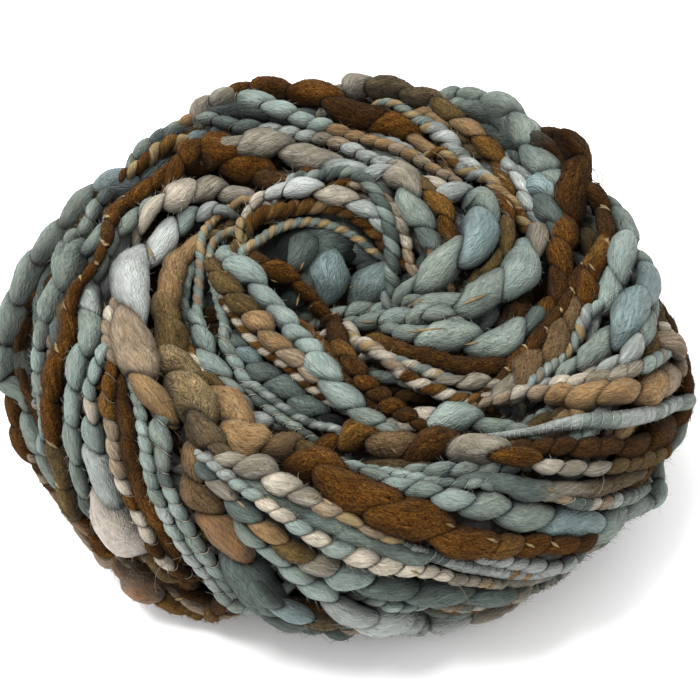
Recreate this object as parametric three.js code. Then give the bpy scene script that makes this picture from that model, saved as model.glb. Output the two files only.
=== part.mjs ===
// A hank of handspun art yarn, twisted up and coiled into a round nest, in millimetres, +Z up.
// The hank is one continuous thick-and-thin yarn, so the model is one solid: the wound form with its
// flat resting spot, the bulging side, the crown, the groove between the inner and the outer coil, and
// the hollow eye, all over it the main lays of yarn as raised spiral ridges.
// The origin is on the floor, in the middle of the hank.
import * as THREE from "three";
import { ParametricGeometry } from "three/addons/geometries/ParametricGeometry.js";
import { mergeVertices } from "three/addons/utils/BufferGeometryUtils.js";

const TURN = 2 * Math.PI;

// The eye of the nest lies a little off the middle of the hank.
const EYE_X = -2;
const EYE_Y = 2;
const EYE_FLOOR = 61;

// One row for each section through the nest, every 45 degrees of azimuth from +X towards +Y.
// Radii are measured from the eye's axis, heights from the floor.
const SECTIONS = [
  { base: 52, rim: 97, rimHeight: 40, crest: 77, crestHeight: 77, groove: 62, grooveHeight: 69, lip: 34, lipHeight: 84 },
  { base: 52, rim: 85, rimHeight: 45, crest: 74, crestHeight: 82, groove: 66, grooveHeight: 76, lip: 35, lipHeight: 87 },
  { base: 52, rim: 89, rimHeight: 49, crest: 66, crestHeight: 88, groove: 54, grooveHeight: 84, lip: 33, lipHeight: 88 },
  { base: 49, rim: 81, rimHeight: 45, crest: 61, crestHeight: 89, groove: 47, grooveHeight: 82, lip: 31, lipHeight: 88 },
  { base: 52, rim: 98, rimHeight: 42, crest: 65, crestHeight: 84, groove: 43, grooveHeight: 75, lip: 30, lipHeight: 85 },
  { base: 47, rim: 90, rimHeight: 41, crest: 64, crestHeight: 78, groove: 46, grooveHeight: 68, lip: 28, lipHeight: 81 },
  { base: 47, rim: 88, rimHeight: 42, crest: 68, crestHeight: 75, groove: 52, grooveHeight: 63, lip: 29, lipHeight: 79 },
  { base: 49, rim: 94, rimHeight: 40, crest: 74, crestHeight: 75, groove: 59, grooveHeight: 63, lip: 31, lipHeight: 80 },
];

// How far the surface runs along a section, piece by piece from the base's edge to the eye's middle.
const UNDERSIDE_RUN = 70;
const SIDE_RUN = 54;
const TOP_RUN = 38;
const EYE_RUN = 40;
const SECTION_RUN = UNDERSIDE_RUN + SIDE_RUN + TOP_RUN + EYE_RUN;

// The main lays: each is a few strands side by side, and spirals from the base up into the eye.
const LAYS = 12;
const LAY_WIDTH = 9;
const LAY_CROWN = 1.3;
const LAY_VALLEY = 1.9;
const THICK_AND_THIN = 1.7;
// They are pressed flat over this run next to the resting spot, and sink away at the eye's floor.
const BASE_FADE_RUN = 34;
const EYE_FADE_RUN = 14;
// The lays climb fastest across the front of the hank and run nearly level at the back.
const STEEP_AZIMUTH = (300 / 360) * TURN;
const STEEPNESS = 0.16;

// The mesh follows the lays: a valley and two shoulders for each.
const LAY_STEPS = [0, 0.3, 0.7];
const AZIMUTH_STEPS = 72;
const LAY_ROWS = Math.ceil((SECTION_RUN / LAY_WIDTH + LAYS) * LAY_STEPS.length) + 2;

const smooth = (x) => x * x * (3 - 2 * x);
const clamp = THREE.MathUtils.clamp;

// The section at an azimuth, with every size eased between the rows of the table.
function sectionAt(azimuth) {
  const place = (azimuth / TURN) * SECTIONS.length;
  const first = Math.floor(place);
  const share = place - first;
  const row = (step) => SECTIONS[(first + step + SECTIONS.length) % SECTIONS.length];
  const section = {};
  for (const size of Object.keys(SECTIONS[0])) {
    const [before, a, b, after] = [-1, 0, 1, 2].map((step) => row(step)[size]);
    section[size] =
      0.5 *
      (2 * a +
        (b - before) * share +
        (2 * before - 5 * a + 4 * b - after) * share ** 2 +
        (3 * a - before - 3 * b + after) * share ** 3);
  }
  return section;
}

// The smooth wound form: a point by azimuth and by the run along the section from the base's edge.
function formPoint(azimuth, run) {
  const s = sectionAt(azimuth);
  const underside = clamp(run / UNDERSIDE_RUN, 0, 1);
  const side = clamp((run - UNDERSIDE_RUN) / SIDE_RUN, 0, 1);
  const top = clamp((run - UNDERSIDE_RUN - SIDE_RUN) / TOP_RUN, 0, 1);
  const eye = clamp((run - SECTION_RUN + EYE_RUN) / EYE_RUN, 0, 1);
  let radius;
  let height;
  if (underside < 1) {
    radius = s.base + (s.rim - s.base) * Math.sin((underside * Math.PI) / 2);
    height = s.rimHeight * (1 - Math.cos((underside * Math.PI) / 2));
  } else if (side < 1) {
    radius = s.crest + (s.rim - s.crest) * Math.cos((side * Math.PI) / 2);
    height = s.rimHeight + (s.crestHeight - s.rimHeight) * Math.sin((side * Math.PI) / 2);
  } else if (top < 0.5) {
    radius = s.crest + (s.groove - s.crest) * top * 2;
    height = s.crestHeight + (s.grooveHeight - s.crestHeight) * smooth(top * 2);
  } else if (top < 1) {
    radius = s.groove + (s.lip - s.groove) * (top * 2 - 1);
    height = s.grooveHeight + (s.lipHeight - s.grooveHeight) * smooth(top * 2 - 1);
  } else {
    radius = s.lip * (1 - eye);
    height = s.lipHeight + (EYE_FLOOR - s.lipHeight) * Math.sin((eye * Math.PI) / 2) ** 2;
  }
  return new THREE.Vector3(EYE_X + radius * Math.cos(azimuth), EYE_Y + radius * Math.sin(azimuth), height);
}

// The outward normal of the wound form, from its neighbours.
function formNormal(azimuth, run) {
  const step = 0.5;
  const turn = 0.01;
  const along = formPoint(azimuth, run + step).sub(formPoint(azimuth, run - step));
  const around = formPoint(azimuth + turn, run).sub(formPoint(azimuth - turn, run));
  return around.cross(along).normalize();
}

// How many lays further in the same row has got at an azimuth: one whole set of lays in a full turn.
function laysPassed(azimuth) {
  return LAYS * (azimuth / TURN + STEEPNESS * (Math.sin(azimuth - STEEP_AZIMUTH) + Math.sin(STEEP_AZIMUTH)));
}

// The relief of a lay: its crown swells and thins along its length, the valleys stay sharp.
function relief(lay, azimuth, run) {
  const across = lay - Math.floor(lay);
  const ply = Math.floor(lay) % LAYS;
  const swell = 0.6 * Math.sin(4 * azimuth + 2.4 * ply) + 0.4 * Math.sin(7 * azimuth + 4.1 * ply);
  const height = across === 0 ? -LAY_VALLEY : LAY_CROWN + THICK_AND_THIN * swell;
  const fade = Math.min(run / BASE_FADE_RUN, (SECTION_RUN - run) / EYE_FADE_RUN);
  return height * smooth(clamp(fade, 0, 1));
}

// A point of the skin. Row 0 is the middle of the flat resting spot.
function skinPoint(azimuthShare, rowShare, target) {
  const azimuth = (azimuthShare % 1) * TURN;
  const row = Math.round(rowShare * LAY_ROWS);
  const turned = azimuthShare >= 1 ? LAYS : 0;
  const step = Math.max(row - 1, 0);
  const lay = Math.floor(step / LAY_STEPS.length) + LAY_STEPS[step % LAY_STEPS.length];
  const run = clamp((lay - laysPassed(azimuth) - turned) * LAY_WIDTH, 0, SECTION_RUN);
  if (row === 0) {
    target.set(EYE_X, EYE_Y, 0);
  } else if (run === 0 || run === SECTION_RUN) {
    target.copy(formPoint(azimuth, run));
  } else {
    target.copy(formPoint(azimuth, run)).addScaledVector(formNormal(azimuth, run), relief(lay, azimuth, run));
  }
}

// Rows that start or end inside the sheet meet in shared points, so their empty triangles are dropped.
function closedSkin() {
  const sheet = new ParametricGeometry(skinPoint, AZIMUTH_STEPS, LAY_ROWS);
  sheet.deleteAttribute("normal");
  sheet.deleteAttribute("uv");
  const skin = mergeVertices(sheet, 1e-2);
  const corners = skin.index.array;
  const kept = [];
  for (let i = 0; i < corners.length; i += 3) {
    const [a, b, c] = corners.slice(i, i + 3);
    if (a !== b && b !== c && c !== a) kept.push(a, b, c);
  }
  skin.setIndex(kept);
  skin.computeBoundingBox();
  const middle = skin.boundingBox.getCenter(new THREE.Vector3());
  skin.translate(-middle.x, -middle.y, 0);
  skin.computeVertexNormals();
  return skin;
}

const wool = new THREE.MeshStandardMaterial({ color: 0x7d8078, roughness: 0.95, metalness: 0 });
const hank = new THREE.Mesh(closedSkin(), wool);
hank.name = "yarn_hank";

const part = new THREE.Group();
part.add(hank);

export default part;
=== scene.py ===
import math
import random

import bmesh
import bpy
import numpy as np
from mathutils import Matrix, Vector
from mathutils.bvhtree import BVHTree
from mathutils.kdtree import KDTree


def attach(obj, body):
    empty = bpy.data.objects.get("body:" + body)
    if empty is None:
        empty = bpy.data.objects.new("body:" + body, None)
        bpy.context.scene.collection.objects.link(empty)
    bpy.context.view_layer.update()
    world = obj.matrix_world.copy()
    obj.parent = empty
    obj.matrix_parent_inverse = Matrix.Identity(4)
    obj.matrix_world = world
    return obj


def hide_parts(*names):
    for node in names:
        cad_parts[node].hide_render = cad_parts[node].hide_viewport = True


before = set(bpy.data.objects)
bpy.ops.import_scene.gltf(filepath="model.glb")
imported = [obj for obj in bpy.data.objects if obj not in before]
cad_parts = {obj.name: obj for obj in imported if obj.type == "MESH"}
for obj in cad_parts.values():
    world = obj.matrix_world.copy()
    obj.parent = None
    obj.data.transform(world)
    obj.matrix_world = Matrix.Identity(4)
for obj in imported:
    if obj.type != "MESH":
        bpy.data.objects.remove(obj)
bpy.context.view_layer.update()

MM = 0.001
TURN = 2 * math.pi


# The camera. The hank is looked at from above its front, at 48 degrees, with a long lens from 0.76 m away.
# The strands below are laid by where they run in that view, so the camera comes first.
IMAGE_PIXELS = 700
FOCAL_PIXELS = 2599
SENSOR_MM = 36
AIM = Vector((-0.0003, 0.0011, 0.0470))
CAMERA_ELEVATION = math.radians(48)
CAMERA_DISTANCE = 0.76
VIEW_DIRECTION = Vector((0, math.cos(CAMERA_ELEVATION), -math.sin(CAMERA_ELEVATION)))
VIEW_RIGHT = Vector((1, 0, 0))
VIEW_UP = VIEW_RIGHT.cross(VIEW_DIRECTION)
CAMERA_PLACE = AIM - VIEW_DIRECTION * CAMERA_DISTANCE

camera = bpy.data.objects.new("camera", bpy.data.cameras.new("camera"))
bpy.context.scene.collection.objects.link(camera)
camera.data.sensor_width = SENSOR_MM
camera.data.lens = SENSOR_MM * FOCAL_PIXELS / IMAGE_PIXELS
camera.data.clip_start = 0.05
camera.location = CAMERA_PLACE
camera.rotation_mode = "QUATERNION"
camera.rotation_quaternion = VIEW_DIRECTION.to_track_quat("-Z", "Y")
bpy.context.scene.camera = camera


def ray_through(x, y):
    """The direction in which the camera sees a pixel of the 700 x 700 frame."""
    across = (x - IMAGE_PIXELS / 2) / FOCAL_PIXELS
    up = (IMAGE_PIXELS / 2 - y) / FOCAL_PIXELS
    return (VIEW_DIRECTION + VIEW_RIGHT * across + VIEW_UP * up).normalized()


def pixel_of(place):
    """The pixel of the 700 x 700 frame at which the camera sees a place."""
    seen = place - CAMERA_PLACE
    scale = FOCAL_PIXELS / seen.dot(VIEW_DIRECTION)
    return IMAGE_PIXELS / 2 + seen.dot(VIEW_RIGHT) * scale, IMAGE_PIXELS / 2 - seen.dot(VIEW_UP) * scale


# The wound form. The hank is twisted up and coiled by hand into a round nest with a hollow eye, and its
# solid in the frame has that form. A smoothed copy of it is what every strand is laid on, and a shrunken
# one stays inside as a near-black heart of painted shade, which closes the gaps between the strands.
NODE = "yarn_hank"
FORM_SMOOTHING = 6
HEART_DEPTH = 12 * MM
HEART_DARK = (0.012, 0.009, 0.006, 1)
HEART_PALER = (0.036, 0.027, 0.018, 1)
HEART_FINENESS = 900

form = bmesh.new()
form.from_mesh(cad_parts[NODE].data)
bmesh.ops.remove_doubles(form, verts=form.verts, dist=0.01 * MM)


def smoothed(sheet, rounds):
    """Irons a mesh smooth, a little with each round."""
    for _ in range(rounds):
        bmesh.ops.smooth_vert(
            sheet, verts=sheet.verts, factor=0.5, use_axis_x=True, use_axis_y=True, use_axis_z=True
        )
    sheet.normal_update()


smoothed(form, FORM_SMOOTHING)
form_skin = BVHTree.FromBMesh(form)

heart = form.copy()
smoothed(heart, FORM_SMOOTHING)
for vert in heart.verts:
    vert.co -= vert.normal * HEART_DEPTH
smoothed(heart, FORM_SMOOTHING)
heart_mesh = bpy.data.meshes.new("hank_heart")
heart.to_mesh(heart_mesh)


def fed(tree, node, inputs):
    """Gives each of a node's inputs a value, or links it to another node's output."""
    for name, value in inputs.items():
        if isinstance(value, bpy.types.NodeSocket):
            tree.links.new(value, node.inputs[name])
        else:
            node.inputs[name].default_value = value
    return node


def added(tree, kind, inputs, **settings):
    """Adds a node to a shader tree, with its settings and inputs."""
    node = tree.nodes.new("ShaderNode" + kind)
    for name, value in settings.items():
        setattr(node, name, value)
    return fed(tree, node, inputs)


def new_material(name):
    """A new material, with its tree of nodes and its shader."""
    material = bpy.data.materials.new(name)
    material.use_nodes = True
    return material, material.node_tree, material.node_tree.nodes["Principled BSDF"]


def wool_piece(name, mesh, material):
    """Puts a finished mesh of wool into the scene as one piece of the hank."""
    mesh.shade_smooth()
    mesh.materials.append(material)
    piece = bpy.data.objects.new(name, mesh)
    bpy.context.scene.collection.objects.link(piece)
    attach(piece, "root")
    return piece


# The heart's near-black colour is painted shade for the deep gaps between the strands.
painted_shade_heart, tree, shader = new_material("painted_shade_heart")
place = added(tree, "TexCoord", {}).outputs["Object"]
fibre = added(tree, "TexNoise", {"Vector": place, "Scale": HEART_FINENESS}).outputs["Fac"]
tone = added(tree, "Mix", {"Factor": fibre, "A": HEART_DARK, "B": HEART_PALER}, data_type="RGBA")
fed(tree, shader, {"Base Color": tone.outputs["Result"], "Roughness": 1})
hank_heart = wool_piece("hank_heart", heart_mesh, painted_shade_heart)
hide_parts(NODE)


# The yarn. It is one handspun yarn of wool roving, held by a thin binder thread that nips it into puffs,
# fluffy slubs, beads or an even wrapped strand, with plain roving, smooth slubs, plied stretches and ones
# that have flax spun in.
PLIED = ("ply", "thread", "straw")
# The pitch is the thread's advance in thicknesses of the strand, the waist how far it is nipped, uneven how
# much nips and puffs differ, the bow how square a puff is, flat how far it is pressed, the sway how far it
# corkscrews, the lump how bumpy it is, and the grade the step along it in mm.
KIND_COLUMNS = ("pitch", "waist", "uneven", "bow", "flat", "sway", "lump", "grade")
KIND_ROWS = {
    "puffs": (1.60, 0.44, 0.16, 0.50, 0.93, 0.10, 0.040, 1.05),
    "fluff": (1.70, 0.54, 0.12, 0.50, 0.92, 0.10, 0.045, 1.05),
    "beads": (1.12, 0.48, 0.10, 0.50, 0.96, 0.06, 0.020, 0.80),
    "wrapped": (0.62, 0.80, 0.02, 0.50, 0.96, 0.00, 0.020, 0.48),
    "roving": (2.60, 0.78, 0.10, 0.60, 0.88, 0.10, 0.050, 1.30),
    "slub": (1.70, 1.00, 0.00, 1.00, 0.95, 0.00, 0.030, 1.05),
    "flaxed": (1.90, 0.58, 0.14, 0.48, 0.94, 0.12, 0.040, 0.95),
    "ply": (1.75, 0.62, 0.00, 0.55, 1.00, 0.00, 0.020, 0.62),
    "thread": (9.00, 1.00, 0.00, 1.00, 1.00, 0.00, 0.000, 0.80),
    "straw": (9.00, 1.00, 0.00, 1.00, 0.42, 0.00, 0.050, 0.80),
}
KINDS = {name: dict(zip(KIND_COLUMNS, row)) for name, row in KIND_ROWS.items()}


def dyed(red, green, blue):
    """A wool's colour, given as a dyer's card shows it, in the light-linear values that a material takes."""
    return [((c / 255 + 0.055) / 1.055) ** 2.4 if c > 10 else c / 255 / 12.92 for c in (red, green, blue)]


# Each wool has its own colour, the colour of the fibres carded into it, its share of silk and its loft.
WOOLS = {
    "white": (dyed(125, 128, 125), dyed(116, 120, 115), 0.65, 0.4),
    "cream": (dyed(131, 124, 110), dyed(108, 97, 83), 0.4, 0.5),
    "shell": (dyed(126, 117, 106), dyed(110, 103, 94), 0.8, 0.35),
    "beige": (dyed(91, 77, 59), dyed(122, 110, 96), 0.2, 0.6),
    "tan": (dyed(96, 74, 47), dyed(113, 95, 67), 0.15, 0.8),
    "camel": (dyed(59, 46, 22), dyed(78, 63, 36), 0.1, 1.0),
    "orange": (dyed(91, 61, 23), dyed(46, 29, 8), 0.40, 0.6),
    "rust": (dyed(68, 46, 14), dyed(90, 64, 29), 0.05, 1.1),
    "chestnut": (dyed(56, 33, 8), dyed(81, 55, 19), 0.00, 1.5),
    "bark": (dyed(41, 25, 8), dyed(61, 39, 13), 0.00, 1.3),
    "olive": (dyed(56, 46, 29), dyed(80, 66, 44), 0.15, 1.1),
    "moss": (dyed(84, 71, 48), dyed(108, 92, 64), 0.1, 1.1),
    "mushroom": (dyed(75, 59, 39), dyed(59, 44, 26), 0.1, 0.95),
    "taupe": (dyed(82, 76, 62), dyed(114, 109, 100), 0.35, 0.5),
    "silver": (dyed(90, 95, 90), dyed(115, 120, 117), 0.8, 0.35),
    "mint": (dyed(94, 103, 97), dyed(78, 95, 89), 0.4, 0.5),
    "teal": (dyed(86, 92, 84), dyed(63, 78, 76), 0.28, 0.6),
    "lagoon": (dyed(64, 80, 79), dyed(84, 97, 96), 0.60, 0.6),
    "slate": (dyed(49, 56, 51), dyed(63, 74, 71), 0.28, 0.65),
    # This near-black colour is no dyed wool but painted shade, for the deep eye's far wall.
    "pine": (dyed(6, 9, 8), dyed(15, 21, 19), 0.10, 0.6),
    "flax": (dyed(115, 99, 70), dyed(97, 78, 51), 0.15, 0.2),
}


KNOT_STEPS = 40


def spline(knots, step):
    """Even steps along a smooth curve through the knots, with each step's place between the knots."""
    knots = np.array(knots, float)
    padded = np.vstack([2 * knots[0] - knots[1], knots, 2 * knots[-1] - knots[-2]])
    places = np.linspace(0, len(knots) - 1, (len(knots) - 1) * KNOT_STEPS + 1)
    first = np.minimum(places.astype(int), len(knots) - 2)
    share = (places - first)[:, None]
    a, b, c, d = (padded[first + k] for k in range(4))
    curve = 0.5 * (2 * b + (c - a) * share + (2 * a - 5 * b + 4 * c - d) * share**2)
    curve += 0.5 * (3 * b - a - 3 * c + d) * share**3
    gone = run_along(curve[:, :2])
    even = np.linspace(0, gone[-1], max(int(gone[-1] / step), 4))
    return resampled(even, gone, curve), np.interp(even, gone, places)


def run_along(points):
    """The length gone at each point of a line."""
    return np.concatenate([[0], np.cumsum(np.linalg.norm(np.diff(points, axis=0), axis=1))])


def resampled(even, gone, values):
    """The columns of a table read off at other places along a line."""
    return np.column_stack([np.interp(even, gone, column) for column in values.T])


def blurred(values, reach):
    """Values averaged over their neighbours along a strand."""
    padded = np.concatenate([np.repeat(values[:1], reach, 0), values, np.repeat(values[-1:], reach, 0)])
    total = np.cumsum(np.concatenate([np.zeros_like(padded[:1]), padded]), axis=0)
    width = 2 * reach + 1
    return (total[width:] - total[:-width]) / width


def unit(vectors):
    """Vectors brought to length one."""
    return vectors / np.maximum(np.linalg.norm(vectors, axis=-1, keepdims=True), 1e-12)


BEYOND_EDGE = 7 * MM
AIM_ROUNDS, AIM_SHARE = 4, 0.7
EDGE_ROUNDS = 6


def on_form(x, y, depth):
    """The place that is seen at a pixel and lies that deep under the wound form, and the form's normal."""
    aim_x, aim_y = x, y
    for _ in range(AIM_ROUNDS):
        ray = ray_through(aim_x, aim_y)
        place, normal, _, _ = form_skin.ray_cast(CAMERA_PLACE, ray)
        if place is None:
            near = CAMERA_PLACE + ray * CAMERA_DISTANCE
            for _ in range(EDGE_ROUNDS):
                place, normal, _, _ = form_skin.find_nearest(near)
                near = CAMERA_PLACE + ray * (place - CAMERA_PLACE).dot(ray)
        place = place - normal * depth
        seen_x, seen_y = pixel_of(place)
        aim_x += AIM_SHARE * (x - seen_x)
        aim_y += AIM_SHARE * (y - seen_y)
    to_mm = (place - CAMERA_PLACE).dot(VIEW_DIRECTION) / FOCAL_PIXELS
    rest = VIEW_RIGHT * (x - seen_x) * to_mm + VIEW_UP * (seen_y - y) * to_mm
    if rest.length > BEYOND_EDGE:
        rest = rest.normalized() * BEYOND_EDGE
    return place + rest, normal


EYE_X, EYE_Y = -3 * MM, 2 * MM
CLIMB = 0.21
TUCK_RUN = 11 * MM
TUCK_DEPTH, TUCK_CURVE = 10 * MM, 1.3
HIDDEN_RUN = 34 * MM
INNER_COIL = 50 * MM
EDGE_FACING = -0.25
STEER_INSIDE, STEER_AT_EDGE = 25, 60


def swirl_at(place, normal, like):
    """The way the hank winds there, clockwise round its eye and slowly inwards, or back along it."""
    around = Vector((place.y - EYE_Y, EYE_X - place.x, 0)).normalized()
    around = (around - normal * around.dot(normal)).normalized()
    way = (around + around.cross(normal) * CLIMB).normalized()
    return way if way.dot(like) > 0 else -way


def tucked(place, normal, direction, depth, step):
    """A strand's end: it goes on along the wound form, a long way round where it meets the edge of the
    view, and then dives under its neighbours."""
    out = []
    outer = math.hypot(place.x - EYE_X, place.y - EYE_Y) > INNER_COIL
    at_edge = outer and normal.dot(VIEW_DIRECTION) > EDGE_FACING
    steer = (STEER_AT_EDGE if at_edge else STEER_INSIDE) * step
    steps = int((TUCK_RUN + (HIDDEN_RUN if at_edge else 0)) / step)
    for number in range(1, steps + 1):
        way = swirl_at(place, normal, direction)
        direction = direction.lerp(way, steer).normalized()
        surface, normal, _, _ = form_skin.find_nearest(place + direction * step)
        dive = max(0, 1 - (steps - number) * step / TUCK_RUN)
        place = surface - normal * (depth + TUCK_DEPTH * dive**TUCK_CURVE)
        direction = (direction - normal * direction.dot(normal)).normalized()
        out.append((place, normal))
    return out


def near_places(places):
    """A tree of places, to find those that lie near a point."""
    tree = KDTree(len(places))
    for index, place in enumerate(places):
        tree.insert(place, index)
    tree.balance()
    return tree


laid_strands = []
laid_places = []
CHECK_EVERY = 2
TOUCH = 0.86
LIFT_MOST = 3.5 * MM
THICKEST = 7 * MM
WELL_BELOW = 0.45


def rested(middle, normals, radius):
    """Lifts a strand where it would cut into those laid before it, so that it rests on them."""
    if not laid_places:
        return middle
    lower = near_places([place for place, _ in laid_places])
    lifts = np.zeros(len(middle))
    for k in range(0, len(middle), CHECK_EVERY):
        normal = Vector(normals[k])
        for place, index, gap in lower.find_range(Vector(middle[k]), radius[k] + THICKEST):
            reach = (radius[k] + laid_places[index][1]) * TOUCH
            if gap >= reach:
                continue
            offset = Vector(middle[k]) - place
            height = offset.dot(normal)
            if height < -WELL_BELOW * reach:
                continue
            aside = gap**2 - height**2
            if aside < reach**2:
                lifts[k : k + CHECK_EVERY] = max(lifts[k], math.sqrt(reach**2 - aside) - height)
    soft = max(3, int(radius.mean() / np.linalg.norm(middle[1] - middle[0])))
    lifts = blurred(blurred(np.minimum(lifts, LIFT_MOST), soft), soft)
    return blurred(middle + normals * lifts[:, None], 2)


PRESSED = 0.85
SINK = 0.6 * MM
TRACE_STEP = 1.5
PLACES_EASED, NORMALS_EASED, LAID_EASED = 3, 8, 4
END_REACH = 4
MARK_EVERY = 3


def depth_of(kind, radius, lift):
    """How deep a strand's middle lies in the wound form. A slub lies level, so that its ends stay down."""
    deepest = radius.max() if kind == "slub" else 0
    return np.maximum(radius, deepest) * PRESSED + SINK - lift * MM


def end_of(middle, normals, depth, step, last):
    """The tucked end of a strand, beyond its last place or its first."""
    end, inner = (-1, -1 - END_REACH) if last else (0, END_REACH)
    direction = Vector(middle[end] - middle[inner]).normalized()
    return tucked(Vector(middle[end]), Vector(normals[end]), direction, depth[end], step)


def puffs_along(kind, route, places, step):
    """The count of puffs so far at each step of a strand. Between two knots of its route lie as many whole
    puffs as their thickness leaves room for."""
    counts = []
    for k in range(len(route) - 1):
        length = float(np.sum((places >= k) & (places < k + 1))) * step
        thickness = (route[k][2] + route[k + 1][2]) / 2
        counts.append(max(1, round(length / (KINDS[kind]["pitch"] * MM) / thickness)))
    gone = np.interp(places, np.arange(len(route)), np.concatenate([[0], np.cumsum(counts)]))
    gone += np.minimum(places, 0) * counts[0]
    return gone + np.maximum(places - len(route) + 1, 0) * counts[-1]


def lay(kind, lift, wools, route):
    """Lays one strand by its middle line in the photograph's frame. A knot of the route is x, y and the
    thickness in mm, and most knots are the middle of a puff."""
    step = KINDS[kind]["grade"] * MM
    line, places = spline(route, TRACE_STEP)
    radius = line[:, 2] / 2 * MM
    depth = depth_of(kind, radius, lift)
    spots = [on_form(x, y, d) for (x, y, _), d in zip(line, depth)]
    middle = blurred(np.array([place for place, _ in spots]), PLACES_EASED)
    normals = blurred(np.array([normal for _, normal in spots]), NORMALS_EASED)
    gone = run_along(middle)
    even = np.linspace(0, gone[-1], max(int(gone[-1] / step), 6))
    middle, normals = resampled(even, gone, middle), unit(resampled(even, gone, normals))
    radius, places = np.interp(even, gone, radius), np.interp(even, gone, places)
    depth = depth_of(kind, radius, lift)
    ends = [[] if kind == "slub" else end_of(middle, normals, depth, step, last) for last in (False, True)]
    before, after = np.reshape(ends[0][::-1], (-1, 2, 3)), np.reshape(ends[1], (-1, 2, 3))
    count = (len(before), len(after))
    middle = np.vstack([before[:, 0], middle, after[:, 0]])
    normals = np.vstack([before[:, 1], normals, after[:, 1]])
    radius = np.pad(radius, count, mode="edge")
    pace = (len(route) - 1) / len(even)
    places = np.concatenate([
        -pace * np.arange(count[0], 0, -1), places, places[-1] + pace * np.arange(1, count[1] + 1)
    ])
    normals = unit(blurred(normals, LAID_EASED))
    if kind != "slub":
        middle = rested(middle, normals, radius)
    middle[:, 2] = np.maximum(middle[:, 2], radius)
    strand = {
        "kind": kind, "wools": wools.split(), "middle": middle, "normals": normals, "radius": radius,
        "step": step, "share": np.clip(places / (len(route) - 1), 0, 1),
        "nips": puffs_along(kind, route, places, step) + 0.5,
        "shade": np.ones(len(radius)), "coarse": 1, "seed": len(laid_strands),
    }
    laid_strands.append(strand)
    laid_places.extend((Vector(middle[k]), radius[k]) for k in range(0, len(radius), MARK_EVERY))
    return strand


# A strand's table holds four rows of x, y and z, and then these columns, the last its painted shade.
RADIUS, SHARE, SHADE = 12, 13, 14


def turned(strand):
    """A strand's frame at each step: its swaying middle, tangent, outward and sideways directions, and the
    count of nips so far."""
    kind = KINDS[strand["kind"]]
    radius = strand["radius"]
    tangents = unit(blurred(np.gradient(strand["middle"], axis=0), 2))
    normals = strand["normals"]
    normals = unit(normals - tangents * np.sum(tangents * normals, axis=1, keepdims=True))
    sideways = np.cross(tangents, normals)
    nips = strand["nips"]
    if strand["kind"] not in ("puffs", "fluff", "roving"):
        nips = 0.5 + np.cumsum(strand["step"] / (kind["pitch"] * 2 * radius))
    sway = np.sin(math.pi * nips) * kind["sway"] * radius
    middle = strand["middle"] + sideways * sway[:, None]
    columns = [middle, tangents, normals, sideways, radius, strand["share"], strand["shade"]]
    return np.column_stack(columns), nips


FEWEST_RINGS, MOST_RINGS = 5, 16
END_MARGIN = 0.02


def ring_phases(strand, nips):
    """Where the rings of a strand lie, counted in nips: closer together towards each nip."""
    advance = strand["step"] * len(nips) / (nips[-1] - nips[0])
    rings = round(advance / (KINDS[strand["kind"]]["grade"] * strand["coarse"] * MM))
    rings = int(np.clip(rings, FEWEST_RINGS, MOST_RINGS))
    spread = (1 - np.cos(math.pi * np.arange(rings) / rings)) / 2
    phases = (np.arange(math.floor(nips[0]), math.ceil(nips[-1]))[:, None] + spread).ravel()
    return phases[(phases > nips[0] + END_MARGIN) & (phases < nips[-1] - END_MARGIN)]


LEAN, LEAN_MOST = 0.55, 0.22


def slant_of(strand, nips):
    """How far a nip leans along the strand, as a share of a puff's length."""
    advance = strand["step"] / np.maximum(blurred(np.gradient(nips), 3), 1e-6)
    return np.minimum(LEAN * strand["radius"] / advance, LEAN_MOST)


SHALLOWER, DEEPER = 1.2, -0.4


def waist_of(strand, nips, number, between):
    """How far the thread nips the strand there. Each nip has its own depth."""
    kind = KINDS[strand["kind"]]
    dice = np.random.default_rng(strand["seed"])
    own = dice.uniform(DEEPER, SHALLOWER, int(nips[-1] - nips[0]) + 4)
    waists = kind["waist"] + kind["uneven"] * own
    return waists[number] * (1 - between) + waists[number + 1] * between


def end_caps(count, steps):
    """Closes a strand's two ends over a few rings."""
    from_end = np.minimum(np.arange(count), np.arange(count)[::-1])
    return np.sqrt(np.clip(from_end / steps, 0, 1))[:, None]


def wool_table(names, half):
    """The colours with their silk, and the carded colours with their loft, of a row of wools."""
    rows = [WOOLS[name.split("+")[half]] for name in names]
    return np.array([[*row[0], row[2]] for row in rows]), np.array([[*row[1], row[3]] for row in rows])


CAP_RINGS, PLY_CAP_RINGS = 3, 4
WOOL_STRAY = 0.6


def ring_points(strand, nips, angle):
    """The points of a strand's rings: the step at which each lies, its turn round the strand, the number of
    its puff or ply, how far it bows out, how far it is nipped, and how the two ends close."""
    kind = KINDS[strand["kind"]]
    steps = np.arange(len(nips))
    shape = (len(nips), angle.size)
    if strand["kind"] in PLIED:
        place = np.broadcast_to(steps[:, None], shape).astype(float)
        turn = angle - TURN * nips[:, None] if strand["kind"] == "ply" else np.broadcast_to(angle, shape)
        number = np.broadcast_to((np.cos(angle) < 0).astype(int), shape)
        bow = np.broadcast_to(np.abs(np.cos(angle)) ** kind["bow"], shape)
        return place, turn, number, bow, np.full(shape, kind["waist"]), end_caps(len(nips), PLY_CAP_RINGS)
    phases = ring_phases(strand, nips)
    shape = (len(phases), angle.size)
    cap = end_caps(len(phases), CAP_RINGS)
    lean = np.interp(phases, nips, slant_of(strand, nips))[:, None] * cap
    place = np.interp(phases[:, None] - lean * np.sin(angle), nips, steps)
    whole = np.floor(phases + 1e-9)
    between = np.clip(phases - whole, 0, 1)[:, None]
    number = np.broadcast_to((whole - math.floor(nips[0])).astype(int)[:, None], shape)
    bow = np.broadcast_to(np.clip(4 * between * (1 - between), 0, 1) ** kind["bow"], shape)
    waist = waist_of(strand, nips, number, np.broadcast_to(between, shape))
    return place, np.broadcast_to(angle, shape), number, bow, waist, cap


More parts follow.
